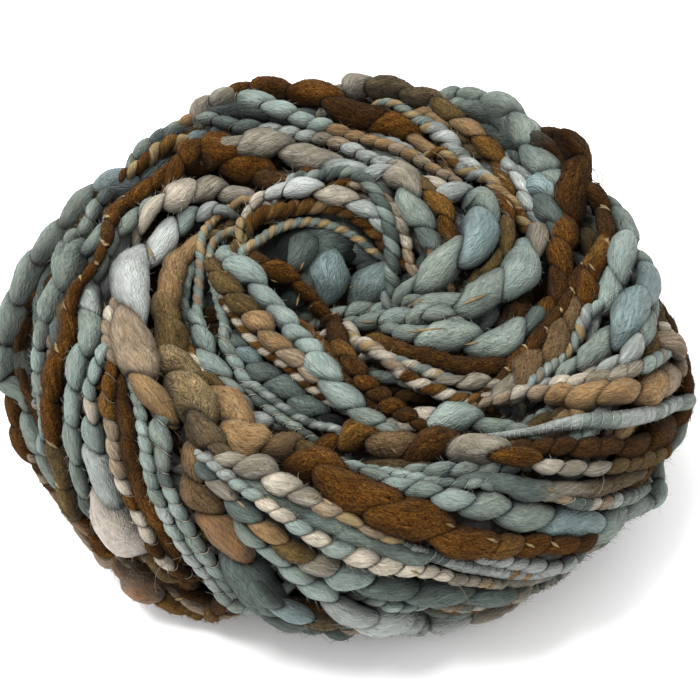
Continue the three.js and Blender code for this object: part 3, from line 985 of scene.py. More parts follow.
# The outer coil's front: strands that run from the left down and round to the right, the fat chestnut
# slubs over rows of teal, cream and silver beads, and pale teal slubs along the floor.
FRONT = [
    ("puffs", 0.4, "cream cream cream mint teal teal",
     [(362, 432, 4), (385, 428, 5), (410, 420, 6), (451, 423, 9.4), (502, 428, 5.5), (532, 433, 3)]),
    ("puffs", 1, "chestnut rust mushroom bark taupe chestnut cream taupe taupe camel camel chestnut",
     [(322, 446, 6), (356, 438, 10), (394, 447, 10.5), (433, 456, 11), (481, 459, 9.4), (520, 462, 7),
      (548, 466, 5.5), (572, 469, 5), (596, 468, 4.8), (620, 466, 4.7), (642, 460, 4.5), (660, 449, 4)]),
    ("roving", 0, "slate slate slate taupe olive olive olive",
     [(470, 478, 4.5), (500, 484, 6), (530, 489, 7), (562, 492, 6), (595, 487, 5.8), (625, 480, 5),
      (645, 470, 4)]),
    ("puffs", 0.6, "mint teal mint teal mint teal teal lagoon teal teal mint teal",
     [(352, 468, 3.5), (376, 476, 4.2), (398, 486, 5.5), (423, 491, 5.8), (450, 498, 7.3), (482, 506, 9.2),
      (521, 514, 10), (565, 522, 10.5), (603, 521, 9), (630, 505, 7), (648, 488, 7), (655, 470, 5)]),
    ("beads", 0, "teal mint teal slate teal",
     [(358, 468, 3.2), (385, 473, 3.8), (410, 478, 3.8), (435, 482, 3.5), (460, 485, 3.2), (482, 484, 3)]),
    ("beads", 0.3, "slate beige cream silver teal teal",
     [(568, 500, 3.5), (592, 503, 4.4), (612, 501, 4.7), (632, 496, 4.4), (648, 486, 4)]),
    ("fluff", 1.3, "chestnut chestnut chestnut chestnut chestnut rust chestnut chestnut bark",
     [(272, 452, 6), (308, 471, 12), (354, 497, 13.5), (412, 520, 13), (464, 537, 9.8), (503, 545, 7.5),
      (530, 544, 7), (556, 543, 6), (580, 536, 5)]),
    ("wrapped", 0, "teal silver slate silver silver silver tan silver silver",
     [(398, 543, 3), (418, 551, 3.5), (440, 558, 3.8), (462, 565, 4), (485, 569, 4), (510, 572, 4.4),
      (535, 572, 4.4), (562, 566, 4)]),
    ("beads", 0.5, "slate silver silver silver silver slate silver",
     [(462, 552, 4), (485, 557, 4.4), (508, 561, 4.7), (530, 563, 5), (550, 561, 4.7), (566, 555, 4.7),
      (580, 545, 4)]),
    ("beads", 1, "silver silver mint cream mint cream mint cream cream cream cream taupe beige taupe",
     [(208, 461, 3), (232, 480, 3.8), (258, 498, 4.1), (282, 514, 4.4), (300, 526, 4.7), (322, 540, 5.3),
      (345, 549, 5.8), (370, 556, 6), (398, 562, 5.8), (422, 568, 4.7), (448, 576, 4.1), (475, 580, 3.5),
      (500, 584, 3)]),
    ("roving", 0, "teal teal slate teal slate teal",
     [(225, 464, 4), (255, 487, 6), (290, 506, 8), (325, 521, 9), (360, 537, 7.5), (395, 549, 6),
      (420, 555, 4)]),
    ("puffs", 0.4, "slate taupe slate tan camel taupe mint slate slate slate taupe",
     [(205, 470, 4), (222, 488, 5), (243, 510, 6.5), (268, 531, 6.5), (294, 550, 6.5), (320, 563, 8),
      (345, 572, 9.5), (383, 586, 10), (437, 591, 9), (490, 590, 6), (520, 588, 4.5)]),
    ("puffs", 0.6, "teal mint mint mint silver silver white taupe taupe",
     [(248, 535, 4), (274, 556, 5), (296, 572, 6.2), (316, 588, 6.6), (345, 604, 8.5), (388, 615, 10),
      (440, 620, 9.5), (485, 612, 7.5), (515, 602, 5)]),
    ("puffs", 0, "slate lagoon olive slate",
     [(264, 586, 5), (294, 600, 7), (325, 612, 6), (355, 621, 5)]),
    ("roving", -0.5, "slate taupe slate slate",
     [(540, 556, 5), (575, 548, 7), (602, 538, 6), (618, 520, 5)]),
    ("roving", -0.5, "taupe silver taupe slate",
     [(448, 578, 3), (485, 583, 3.5), (520, 582, 4), (555, 573, 4)]),
]
wind("front_turns", FRONT)


# Between the coils: the white and cream slubs on the left, the tan strand that runs on into olive slubs, the
# plies and rows of beads that come out of the eye, and the tan and taupe slubs below them.
BETWEEN_COILS = [
    ("puffs", 0.5, "taupe taupe taupe cream cream",
     [(262, 205, 5), (236, 195, 7.5), (208, 190, 8.8), (172, 200, 8.8), (152, 212, 5)]),
    ("puffs", 1, "silver silver mint white white beige tan",
     [(224, 214, 3.5), (206, 213, 5), (186, 220, 7.6), (164, 239, 9.5), (129, 284, 13), (136, 364, 13),
      (156, 398, 8)]),
    ("puffs", 0.5, "tan camel moss moss olive olive",
     [(163, 318, 7), (167, 340, 9.5), (174, 370, 13), (188, 410, 14.5), (210, 443, 9), (226, 458, 5)]),
    ("roving", 0.6, "flax tan tan tan camel camel",
     [(206, 234, 3.2), (190, 249, 5), (176, 268, 7.5), (166, 293, 7.6), (161, 318, 8.6), (163, 340, 8.6)]),
    ("ply", 0.6, "tan+flax tan+flax teal+flax teal+beige mint+teal",
     [(243, 204, 3), (222, 213, 3), (209, 226, 3.2), (202, 245, 3.2), (200, 270, 3.2), (198, 300, 3.4),
      (197, 328, 3.8)]),
    ("puffs", 0.6, "mint mint mint teal teal",
     [(197, 325, 3.8), (201, 343, 6), (212, 368, 8.2), (232, 389, 5), (246, 400, 3.5)]),
    ("ply", 0, "flax+tan teal+flax teal+mint teal+mint",
     [(262, 219, 3), (240, 229, 3.2), (221, 236, 3.2), (210, 249, 3.2), (211, 270, 3.2), (216, 290, 3.4),
      (221, 310, 3.4), (227, 334, 3.4)]),
    ("beads", 0, "teal teal mint teal slate teal slate",
     [(226, 332, 3.4), (230, 350, 4.4), (236, 364, 4.1), (244, 378, 4.1), (250, 390, 4.1), (262, 402, 4.1),
      (274, 412, 3.8), (290, 424, 3.5), (306, 434, 3)]),
    ("beads", -1.5, "slate teal slate teal",
     [(196, 255, 3), (188, 280, 3.2), (184, 305, 3.5), (190, 330, 4)]),
    ("beads", 0, "chestnut cream rust cream chestnut",
     [(172, 318, 3), (182, 332, 3.5), (189, 350, 3.5), (196, 366, 3.5), (208, 385, 3)]),
    ("puffs", 0.8, "camel tan tan mushroom camel",
     [(206, 386, 4), (224, 417, 11.5), (250, 454, 12), (284, 458, 9), (308, 460, 5)]),
    ("puffs", 0.6, "taupe taupe cream taupe beige flax beige flax",
     [(228, 462, 5), (258, 472, 8.8), (286, 485, 8), (308, 497, 6), (328, 508, 4.5), (350, 518, 3.8),
      (372, 530, 3), (392, 540, 2.5)]),
]
wind("between_coils", BETWEEN_COILS)


# The inner coil's lower side, where the strands come out of the eye and cross down to the right: a long
# mint strand, a tan and a brown one, brown and cream plies between them, and darker strands below.
INNER_LOWER = [
    ("puffs", 1.2, "mint mint mint mint mint mint mint mint teal teal",
     [(226, 254, 6), (246, 275, 8), (268, 299, 7), (284, 320, 6.5), (297, 336, 6.7), (310, 352, 7),
      (322, 369, 8.5), (345, 398, 8.5), (370, 420, 6), (390, 432, 4)]),
    ("puffs", 0.8, "camel camel camel tan tan beige beige chestnut",
     [(216, 268, 5), (232, 289, 7.3), (247, 308, 7.3), (260, 326, 7.6), (278, 345, 7), (296, 362, 5.5),
      (312, 376, 4), (330, 392, 3.2)]),
    ("ply", 0.3, "chestnut+cream rust+cream chestnut+cream bark+cream",
     [(224, 300, 2.8), (238, 322, 3.2), (252, 340, 3.5), (268, 353, 3.5), (286, 365, 3.5), (306, 384, 3.2),
      (328, 400, 3)]),
    ("puffs", -0.5, "slate lagoon slate slate slate pine",
     [(238, 342, 4), (250, 355, 6), (262, 372, 7), (286, 388, 9), (309, 408, 8), (332, 425, 6)]),
    ("ply", 0, "teal+silver slate+silver teal+silver",
     [(255, 388, 3), (272, 400, 3), (292, 414, 3), (312, 424, 3), (335, 432, 2.8)]),
    ("puffs", 0.6, "bark chestnut chestnut chestnut bark rust bark chestnut bark chestnut bark bark",
     [(250, 256, 5), (276, 275, 6.5), (300, 297, 5.3), (317, 313, 5), (330, 328, 6), (342, 352, 6),
      (355, 371, 6.2), (367, 385, 6.2), (379, 396, 5.8), (391, 407, 5.5), (405, 418, 5), (420, 426, 4)]),
    ("roving", -0.6, "rust chestnut bark bark",
     [(302, 325, 4), (318, 345, 5), (335, 368, 5), (350, 388, 5), (368, 405, 5), (385, 420, 4)]),
    ("roving", -1, "bark rust bark bark bark",
     [(345, 330, 4), (365, 334, 5.5), (392, 348, 6), (425, 358, 6), (465, 366, 6.5), (500, 368, 6)]),
    ("ply", 0.4, "cream+white cream+flax cream+beige chestnut+cream rust+cream bark+rust",
     [(332, 331, 3.5), (350, 338, 5), (366, 352, 4.7), (386, 364, 4.4), (402, 378, 4.4), (418, 388, 4.4),
      (438, 396, 4.4), (460, 402, 4), (482, 403, 3.5)]),
    ("ply", 0.3, "cream+silver cream+teal flax+teal",
     [(372, 352, 3.5), (392, 359, 3.5), (412, 366, 3.8), (434, 374, 3.8), (452, 380, 3.5)]),
    ("puffs", 0.3, "taupe taupe taupe",
     [(446, 380, 3.5), (471, 384, 5.5), (498, 385, 4)]),
    ("beads", 0.2, "slate teal silver teal slate",
     [(382, 376, 4), (404, 380, 4), (426, 388, 4.4), (448, 395, 4.4), (470, 398, 4)]),
]
wind("inner_lower", INNER_LOWER)


# The inner coil's right side: fat silky teal slubs, which have flax straws on them, with taupe, brown and
# grey ones above.
INNER_RIGHT = [
    ("puffs", 1, "silver taupe teal slate mushroom",
     [(372, 178, 5), (402, 185, 9.5), (417, 215, 9.5), (432, 243, 6.5), (438, 262, 4)]),
    ("puffs", 0.8, "camel rust chestnut camel",
     [(420, 185, 4.5), (440, 206, 6.5), (450, 233, 7), (446, 257, 5)]),
    ("puffs", 1.3, "silver teal lagoon teal teal",
     [(452, 196, 6), (472, 211, 12), (479, 244, 13), (444, 273, 12.5), (404, 299, 4.5)]),
    ("puffs", 0.8, "teal mint teal teal",
     [(410, 297, 4), (386, 306, 4), (358, 314, 5.5), (330, 316, 4)]),
    ("puffs", 0.5, "camel chestnut camel camel",
     [(488, 198, 4), (500, 213, 5.5), (505, 241, 6), (494, 264, 4)]),
    ("puffs", 1.3, "taupe mint teal teal teal",
     [(536, 238, 7), (515, 272, 12.5), (478, 300, 9.5), (440, 305, 7), (408, 304, 4)]),
    ("puffs", 1, "teal mint teal teal",
     [(442, 318, 5), (405, 320, 7), (376, 330, 5.5), (350, 331, 4)]),
    ("puffs", 0.7, "slate teal teal teal teal",
     [(535, 318, 5), (500, 343, 9.5), (446, 337, 11.5), (405, 333, 5.5), (380, 326, 4)]),
]
wind("inner_right", INNER_RIGHT)


# The eye's edge: white slubs, a brown ply, a teal ply with flax and a grey teal rope arch over it, and a
# row of beige beads runs beside them.
EYE = [
    ("puffs", 1, "flax cream cream white white cream silver silver",
     [(243, 240, 2.8), (248, 220, 3), (258, 204, 3.5), (276, 196, 4.5), (299, 193, 6), (336, 196, 7),
      (366, 210, 6.5), (384, 226, 4.5)]),
    ("ply", 0.8, "camel+flax rust+chestnut rust+tan chestnut+rust bark+rust",
     [(240, 250, 4), (252, 228, 4.7), (276, 214, 5), (304, 207, 5.3), (334, 206, 5.5), (358, 216, 5.5),
      (378, 232, 6), (392, 250, 6)]),
    ("ply", 0.3, "flax+teal teal+flax teal+flax slate+flax",
     [(244, 257, 3.2), (262, 238, 3.2), (284, 226, 3.2), (308, 222, 3.2), (332, 226, 3.2), (355, 237, 3.2),
      (372, 250, 3)]),
    ("ply", 1.2, "silver+slate slate+teal slate+mint slate+teal",
     [(296, 182, 3.5), (318, 176, 4.4), (342, 175, 4.4), (364, 186, 4.4), (380, 204, 4.4), (390, 226, 4.7),
      (395, 252, 5), (396, 280, 5), (391, 300, 4)]),
    ("beads", 1, "chestnut beige beige taupe cream beige camel",
     [(345, 182, 3.2), (374, 190, 3.8), (390, 205, 4.1), (401, 224, 4.4), (407, 246, 4), (411, 268, 3.5)]),
]
wind("eye_turns", EYE)


# The turns on the hidden sides and under the laid strands. They follow the same swirl, all the way from the
# middle of the resting spot up the side, over the top and down to the eye's floor, in lanes side by side,
# and each lane is cut into stretches of yarn whose ends dive under the next.
RING_RADIUS = 55 * MM
RING_HEIGHT = 42 * MM
SECTION_COUNT = 72
RAY_COUNT = 110
RAY_START = math.radians(-142)
RAY_END = math.radians(161)
LANES = 19
TURN_CLIMB = 108 * MM
LANE_STEP = 1.8 * MM
LANE_START, LANE_END = 0.02, 0.865
COARSE = 2.0
HIDDEN_SINK = 0.8 * MM
HIDDEN_DIVE = 5 * MM
DIVE_STEPS, DIVE_CURVE = 9, 1.5
STRETCH_LENGTH = (50 * MM, 130 * MM)
SHORTEST, LEFT_OVER, OVERLAP = 12, 20, 5
WOOLS_LENGTH = 30 * MM
# How a hidden stretch swells and thins: the height of each wave, and its turn with each step.
SWELLS = ((0.14, 0.11), (0.08, 0.31))
WAVE_STARTS = (0, 6)
LANE_POINTS = 2400
# What a hidden stretch may be: its kind, its thickness in mm, its wools and how often it comes.
HIDDEN_TURNS = [
    ("puffs", (7.0, 10.5), ("teal mint teal lagoon", "chestnut rust chestnut", "taupe cream taupe",
                            "slate teal slate", "white cream white", "bark chestnut bark",
                            "tan camel tan"), 5),
    ("beads", (4.2, 6.0), ("mint teal silver mint", "cream beige cream taupe", "camel tan beige camel",
                           "teal slate teal teal", "bark chestnut bark rust"), 4),
    ("roving", (5.0, 7.5), ("teal slate teal", "chestnut bark", "olive camel olive", "mushroom taupe"), 2),
    ("ply", (3.8, 5.0), ("teal+flax teal+silver", "rust+flax chestnut+flax", "cream+teal beige+teal",
                         "bark+beige bark+flax"), 3),
    ("flaxed", (5.5, 6.5), ("chestnut bark", "camel chestnut", "teal slate"), 1),
]
chance = random.Random(7)


def section_curve(azimuth):
    """Points of the wound form's section at an azimuth, from the resting spot's middle to the eye's."""
    out = Vector((math.cos(azimuth), math.sin(azimuth), 0))
    ring = Vector((EYE_X, EYE_Y, RING_HEIGHT)) + out * RING_RADIUS
    points = []
    for k in range(RAY_COUNT):
        slope = RAY_START + (RAY_END - RAY_START) * k / (RAY_COUNT - 1)
        points.append(form_skin.ray_cast(ring, out * math.cos(slope) + Vector((0, 0, math.sin(slope))))[0])
    return np.array(points)


even_shares = np.linspace(0, 1, RAY_COUNT)
sections = np.empty((SECTION_COUNT, RAY_COUNT, 3))
section_lengths = []
for k in range(SECTION_COUNT):
    curve = section_curve(TURN * k / SECTION_COUNT)
    gone = run_along(curve)
    section_lengths.append(gone[-1])
    sections[k] = resampled(even_shares, gone / gone[-1], curve)
section_length = float(np.mean(section_lengths))


def lane_places(azimuth, share):
    """Points of the wound form by azimuth and by the share of the way from the resting spot to the eye."""
    a = (azimuth / TURN * SECTION_COUNT) % SECTION_COUNT
    b = np.clip(share, 0, 1) * (RAY_COUNT - 1)
    a0 = a.astype(int) % SECTION_COUNT
    a1 = (a0 + 1) % SECTION_COUNT
    b0 = np.minimum(b.astype(int), RAY_COUNT - 2)
    u, v = (a - np.floor(a))[:, None], (b - b0)[:, None]
    near = sections[a0, b0] * (1 - v) + sections[a0, b0 + 1] * v
    far = sections[a1, b0] * (1 - v) + sections[a1, b0 + 1] * v
    return near * (1 - u) + far * u


def stretches(path, normals):
    """Cuts one lane into stretches of yarn, each with its ends dived under the next."""
    made = []
    start = 0
    while start < len(path) - SHORTEST:
        end = min(start + int(chance.uniform(*STRETCH_LENGTH) / LANE_STEP), len(path))
        if len(path) - end < LEFT_OVER:
            end = len(path)
        kind, sizes, palettes, _ = chance.choices(HIDDEN_TURNS, [row[3] for row in HIDDEN_TURNS])[0]
        size = chance.uniform(*sizes)
        wools = chance.choice(palettes).split()
        low, high = max(start - OVERLAP, 0), min(end + OVERLAP, len(path))
        count = high - low
        steps = np.arange(count)
        swell = 1
        for height, rate in SWELLS:
            swell = swell + height * np.sin(steps * rate + chance.uniform(*WAVE_STARTS))
        radius = size / 2 * MM * swell
        dive = np.clip(1 - np.minimum(steps, count - 1 - steps) / DIVE_STEPS, 0, 1) ** DIVE_CURVE
        depth = radius * PRESSED + HIDDEN_SINK + HIDDEN_DIVE * dive
        made.append({
            "kind": kind, "wools": wools * max(1, int(count * LANE_STEP / WOOLS_LENGTH / len(wools))),
            "step": LANE_STEP, "middle": path[low:high] - normals[low:high] * depth[:, None],
            "normals": normals[low:high], "radius": radius, "share": np.linspace(0, 1, count),
            "shade": np.ones(count), "coarse": COARSE, "seed": len(path) + start,
            "nips": chance.random() + steps * LANE_STEP / (KINDS[kind]["pitch"] * size * MM),
        })
        start = end
    return made


hidden_strands = []
for lane in range(LANES):
    gone = np.linspace(0, (LANE_END - LANE_START) * section_length / TURN_CLIMB, LANE_POINTS)
    path = lane_places(TURN * (lane / LANES - gone), LANE_START + gone * TURN_CLIMB / section_length)
    length = run_along(path)
    path = blurred(resampled(np.arange(0, length[-1], LANE_STEP), length, path), 3)
    normals = np.array([form_skin.find_nearest(Vector(place))[1] for place in path])
    hidden_strands.extend(stretches(path, unit(blurred(normals, 4))))


# Settling. A hidden turn under a laid strand, or beside a fatter one, is pressed down or aside until the
# two only just touch, as the real turns are. What is pressed deep has its colour painted darker, as
# painted shade.
SETTLE_ROUNDS = 5
PUSH_DOWN, PUSH_ASIDE, PUSH_MOST = 0.8, 0.25, 2.5 * MM
DARK_DEPTH = 3.5 * MM
BURIED_DEPTH = 6 * MM
DEEP_SHADE = 0.22

everything = laid_strands + hidden_strands
owner, step_number = [], []
for number, strand in enumerate(everything):
    marks = range(0, len(strand["radius"]), MARK_EVERY if number < len(laid_strands) else 2)
    owner.extend([number] * len(marks))
    step_number.extend(marks)
owner, step_number = np.array(owner), np.array(step_number)
is_laid = owner < len(laid_strands)
spots, outward, thickness = (
    np.array([everything[a][key][b] for a, b in zip(owner, step_number)])
    for key in ("middle", "normals", "radius")
)
moves = np.zeros_like(spots)
for _ in range(SETTLE_ROUNDS):
    neighbours = near_places(spots)
    push = np.zeros_like(spots)
    widest = thickness.max()
    for index in np.nonzero(~is_laid)[0]:
        reach = (thickness[index] + widest) * TOUCH
        for _, other, gap in neighbours.find_range(spots[index], reach):
            overlap = (thickness[index] + thickness[other]) * TOUCH - gap
            if overlap <= 0 or owner[other] == owner[index]:
                continue
            if is_laid[other]:
                push[index] -= outward[index] * overlap * PUSH_DOWN
            else:
                push[index] += (spots[index] - spots[other]) * overlap / max(gap, 1e-6) * PUSH_ASIDE
    size = np.linalg.norm(push, axis=1, keepdims=True)
    push *= np.minimum(1, PUSH_MOST / np.maximum(size, 1e-9))
    for number in np.unique(owner[~is_laid]):
        mine = owner == number
        push[mine] = blurred(push[mine], 2)
    spots += push
    moves += push
for number, strand in enumerate(hidden_strands, len(laid_strands)):
    mine = owner == number
    steps = np.arange(len(strand["radius"]))
    move = resampled(steps, step_number[mine], moves[mine])
    depth = -np.sum(move * strand["normals"], axis=1)
    # Painted shade: the deeper a hidden turn is pressed, the darker its colour is painted.
    strand["shade"] = 1 - (1 - DEEP_SHADE) * np.clip(depth / DARK_DEPTH, 0, 1)
    strand["middle"] = blurred(strand["middle"] + move, 1)
    strand["middle"][:, 2] = np.maximum(strand["middle"][:, 2], strand["radius"])
    strand["buried"] = depth.min() > BURIED_DEPTH

HIDDEN_SIDES, HIDDEN_SEED = 8, 900
hidden_skins = [
    skin_of(strand, HIDDEN_SIDES, HIDDEN_SEED + k)
    for k, strand in enumerate(hidden_strands) if not strand["buried"]
]
loose_skins.extend(hidden_skins)
spun_piece("hidden_turns", hidden_skins, spun_wool)


# The binder thread. A fine thread is spun round the wool and nips it: across the front it lies in each nip,
# and behind it steps on to the next one. It shows as pale or brown arcs on the beads and the thin strands.
THREAD_STEPS = 12
THREAD_HUG = 6
THREAD_SUNK = 0.2
THREAD_SIDES, THREAD_SEED = 4, 2000
FEWEST_NIPS = 5
# The thread's thickness in mm and its wools, by the kind of the strand that it binds.
BINDERS = {
    "beads": (0.34, ("taupe", "silver", "cream", "beige", "tan")),
    "wrapped": (0.34, ("silver", "cream", "white")),
    "puffs": (0.28, ("taupe", "beige", "camel")),
}
BOUND_PUFF = 2.7 * MM


def on_strand(strand, phase, turn, above):
    """Places on a strand's skin, by the count of nips and the angle round it, that far above the wool."""
    kind = KINDS[strand["kind"]]
    table, nips = turned(strand)
    lean = np.interp(phase, nips, slant_of(strand, nips))
    place = np.interp(phase - lean * np.sin(turn), nips, np.arange(len(nips)))
    read = np.stack([np.interp(place, np.arange(len(nips)), column) for column in table.T], axis=-1)
    middle, _, normals, sideways = (read[:, 3 * k : 3 * k + 3] for k in range(4))
    between = phase - np.floor(phase)
    waist = waist_of(strand, nips, np.floor(phase).astype(int) - math.floor(nips[0]), between)
    swell = waist + (1 - waist) * (4 * between * (1 - between)) ** kind["bow"]
    outward = normals * (np.cos(turn) * kind["flat"])[:, None] + sideways * np.sin(turn)[:, None]
    # With the places goes the strand's painted shade there, for a thread or straw that lies on it.
    return middle + outward * (read[:, RADIUS] * swell + above)[:, None], unit(outward), read[:, SHADE]


def fine_strand(kind, wool, middle, normals, radius, shade):
    """A thread or a straw as a strand of its own, along the places given."""
    count = len(middle)
    return {
        "kind": kind, "wools": [wool], "middle": middle, "normals": normals,
        "radius": radius * np.ones(count), "step": run_along(middle)[-1] / count,
        "share": np.linspace(0, 1, count), "shade": shade * np.ones(count), "nips": np.zeros(count),
        "coarse": 1, "seed": 0,
    }


def binder_thread(strand, wool, thickness):
    """The thread round one strand, from its first nip to its last."""
    whole = np.arange(math.ceil(strand["nips"][0]) + 1, math.floor(turned(strand)[1][-1]) - 1)
    turn = np.linspace(TURN / 2, -TURN / 2, THREAD_STEPS, endpoint=False)
    near = (1 - np.abs(turn) / (TURN / 2)) ** (1 / THREAD_HUG)
    phase = (whole[:, None] - np.sign(turn) * (1 - near) / 2).ravel()
    turns = np.tile(turn, len(whole))
    places, outward, shade = on_strand(strand, phase, turns, thickness * (0.5 - THREAD_SUNK))
    return fine_strand("thread", wool, places, outward, thickness / 2, shade)


thread_skins = []
for strand in laid_strands:
    thin_puffs = strand["kind"] == "puffs" and strand["radius"].mean() < BOUND_PUFF
    bound = thin_puffs or strand["kind"] in ("beads", "wrapped")
    if bound and turned(strand)[1][-1] - strand["nips"][0] > FEWEST_NIPS:
        wide, wools = BINDERS[strand["kind"]]
        thread = binder_thread(strand, chance.choice(wools), wide * MM)
        thread_skins.append(skin_of(thread, THREAD_SIDES, THREAD_SEED + len(thread_skins)))
spun_piece("binder_threads", thread_skins, spun_wool)


# The flax. Short flat straws of it are spun into two brown strands, where they stick out at the nips, and
# others lie here and there on the wool. A row of LOOSE_STRAWS is the two ends in the photograph's frame and
# the width in mm; a row of STRAYS is the wool and the knots of a loose curl, with its height above the wool.
STRAW_REACH = (0.9, 1.7)
STRAW_WIDE = (0.8, 1.5)
STRAW_STEPS = 7
STRAW_TURN, STRAW_DRIFT = 0.9, 0.25
STRAW_ABOVE, LOOSE_ABOVE = 0.15 * MM, 0.35
STRAWS_AT_NIP = (1, 2, 2, 3)
LOOSE_TIP, LOOSE_BELLY = 0.55, 0.45
SPUN_TIP, SPUN_BELLY = 0.5, 0.5
PAST_NIP = 0.04
STRAW_SIDES, STRAW_SEED = 6, 3000
LOOSE_STRAWS = [
    (490, 293, 460, 305, 1.3), (425, 298, 405, 308, 1.2), (445, 328, 405, 332, 1.0),
    (480, 342, 462, 345, 1.0), (375, 322, 360, 322, 1.0), (340, 312, 330, 315, 0.9),
    (355, 285, 345, 291, 1.1), (305, 260, 299, 272, 1.0), (300, 292, 296, 308, 1.0),
    (313, 304, 306, 312, 0.9), (445, 523, 456, 528, 1.1), (486, 538, 500, 543, 1.2),
    (525, 543, 536, 548, 1.1), (550, 541, 560, 548, 1.2), (546, 488, 556, 492, 1.0),
    (146, 243, 156, 262, 1.3), (155, 361, 166, 372, 0.7), (168, 389, 190, 392, 0.7),
    (470, 163, 482, 172, 1.0), (496, 172, 508, 181, 1.0), (486, 184, 496, 190, 0.9),
    (505, 198, 516, 212, 1.0), (543, 232, 550, 243, 0.9), (588, 262, 596, 272, 0.9),
    (390, 447, 398, 455, 0.8), (278, 283, 270, 279, 0.9), (320, 497, 334, 506, 1.1),
    (312, 500, 322, 492, 0.9), (410, 570, 422, 575, 1.0), (478, 582, 492, 590, 1.1),
    (484, 590, 498, 583, 0.9), (64, 300, 60, 316, 0.9), (148, 344, 160, 352, 0.6),
    (160, 402, 174, 399, 0.6), (236, 500, 246, 508, 0.9), (264, 494, 280, 506, 0.9),
]
STRAYS = [
    ("beige", [(157, 596, 1), (155, 583, 3), (158, 570, 5), (168, 562, 5), (184, 556, 2)]),
    ("beige", [(445, 573, 1), (456, 580, 4), (464, 592, 6), (470, 606, 6), (472, 618, 3)]),
    ("bark", [(584, 172, 1), (592, 168, 5), (598, 178, 7), (596, 190, 6), (588, 194, 2)]),
    ("bark", [(580, 168, 1), (590, 178, 5), (600, 184, 6), (603, 176, 5), (596, 168, 2)]),
    ("chestnut", [(97, 238, 1), (104, 232, 3), (110, 238, 4), (106, 247, 2)]),
    ("camel", [(117, 232, 1), (122, 224, 4), (118, 214, 4), (112, 208, 2)]),
    ("tan", [(238, 232, 1), (236, 222, 4), (242, 214, 5), (250, 210, 2)]),
    ("silver", [(245, 214, 1), (252, 202, 4), (262, 196, 4), (272, 192, 1)]),
    ("tan", [(430, 150, 1), (442, 158, 4), (450, 170, 4), (448, 180, 1)]),
    ("cream", [(372, 183, 1), (388, 172, 3), (406, 174, 3), (420, 186, 1)]),
    ("tan", [(214, 262, 1), (219, 270, 3), (226, 272, 3), (232, 268, 1)]),
    ("taupe", [(600, 470, 1), (604, 480, 5), (600, 492, 5), (592, 498, 1)]),
    ("chestnut", [(48, 270, 1), (42, 262, 4), (36, 264, 4), (34, 274, 1)]),
]


wool_faces = np.concatenate([
    np.stack((rings[:-1, :-1], rings[1:, :-1], rings[1:, 1:], rings[:-1, 1:]), axis=-1).reshape(-1, 4)
    for rings in numbered(loose_skins)
])
wound = BVHTree.FromPolygons(columns_of(loose_skins, "skin").tolist(), wool_faces.tolist())


def over_wool(knots):
    """Places over the wool that show along a line of the photograph's frame: x, y and the height in mm."""
    places, normals = [], []
    far = CAMERA_DISTANCE
    for x, y, height in knots:
        ray = ray_through(x, y)
        place, normal, _, distance = wound.ray_cast(CAMERA_PLACE, ray)
        far = distance or far
        places.append(CAMERA_PLACE + ray * (far - height * MM))
        normals.append(normal if normal is not None and normal.dot(ray) < 0 else -ray)
    return np.array(places), unit(blurred(np.array(normals), 2))


straw_skins = []
along = np.linspace(0, 1, STRAW_STEPS)
for x0, y0, x1, y1, wide in LOOSE_STRAWS:
    knots = [(x0 + (x1 - x0) * part, y0 + (y1 - y0) * part, LOOSE_ABOVE) for part in along]
    places, normals = over_wool(knots)
    slim = LOOSE_TIP + LOOSE_BELLY * np.sin(math.pi * along)
    straw = fine_strand("straw", "flax", blurred(places, 1), normals, wide / 2 * MM * slim, 1)
    straw_skins.append(skin_of(straw, STRAW_SIDES, STRAW_SEED + x0))
for strand in laid_strands:
    if strand["kind"] != "flaxed":
        continue
    for nip in range(math.ceil(strand["nips"][0]) + 1, math.floor(turned(strand)[1][-1]) - 1):
        for _ in range(chance.choice(STRAWS_AT_NIP)):
            reach = chance.uniform(*STRAW_REACH)
            middle_turn = chance.uniform(-STRAW_TURN, STRAW_TURN)
            drift = chance.uniform(-STRAW_DRIFT, STRAW_DRIFT)
            line = np.linspace(-0.5, 0.5, STRAW_STEPS)
            turns = middle_turn - line * reach
            places, normals, shade = on_strand(strand, nip + line * drift + PAST_NIP, turns, STRAW_ABOVE)
            slim = SPUN_TIP + SPUN_BELLY * np.sin(np.linspace(0.2, math.pi - 0.2, STRAW_STEPS))
            half_wide = chance.uniform(*STRAW_WIDE) / 2 * MM
            straw = fine_strand("straw", "flax", places, normals, half_wide * slim, shade)
            straw_skins.append(skin_of(straw, STRAW_SIDES, STRAW_SEED + len(straw_skins)))
spun_flax = fibre_material("spun_flax", 0.05, 0.20, 0.30, 0.7, 0.8, 0.02)
spun_piece("flax_straws", straw_skins, spun_flax)

STRAY_RADIUS = 0.13 * MM
STRAY_SIDES, STRAY_SEED = 4, 4000
STRAY_STEP = TRACE_STEP * 1.3
stray_skins = []
for wool, knots in STRAYS:
    line = spline(knots, STRAY_STEP)[0]
    places, normals = over_wool(line)
    curl = fine_strand("thread", wool, blurred(places, 1), normals, STRAY_RADIUS, 1)
    stray_skins.append(skin_of(curl, STRAY_SIDES, STRAY_SEED + len(stray_skins)))
spun_piece("stray_curls", stray_skins, spun_wool)


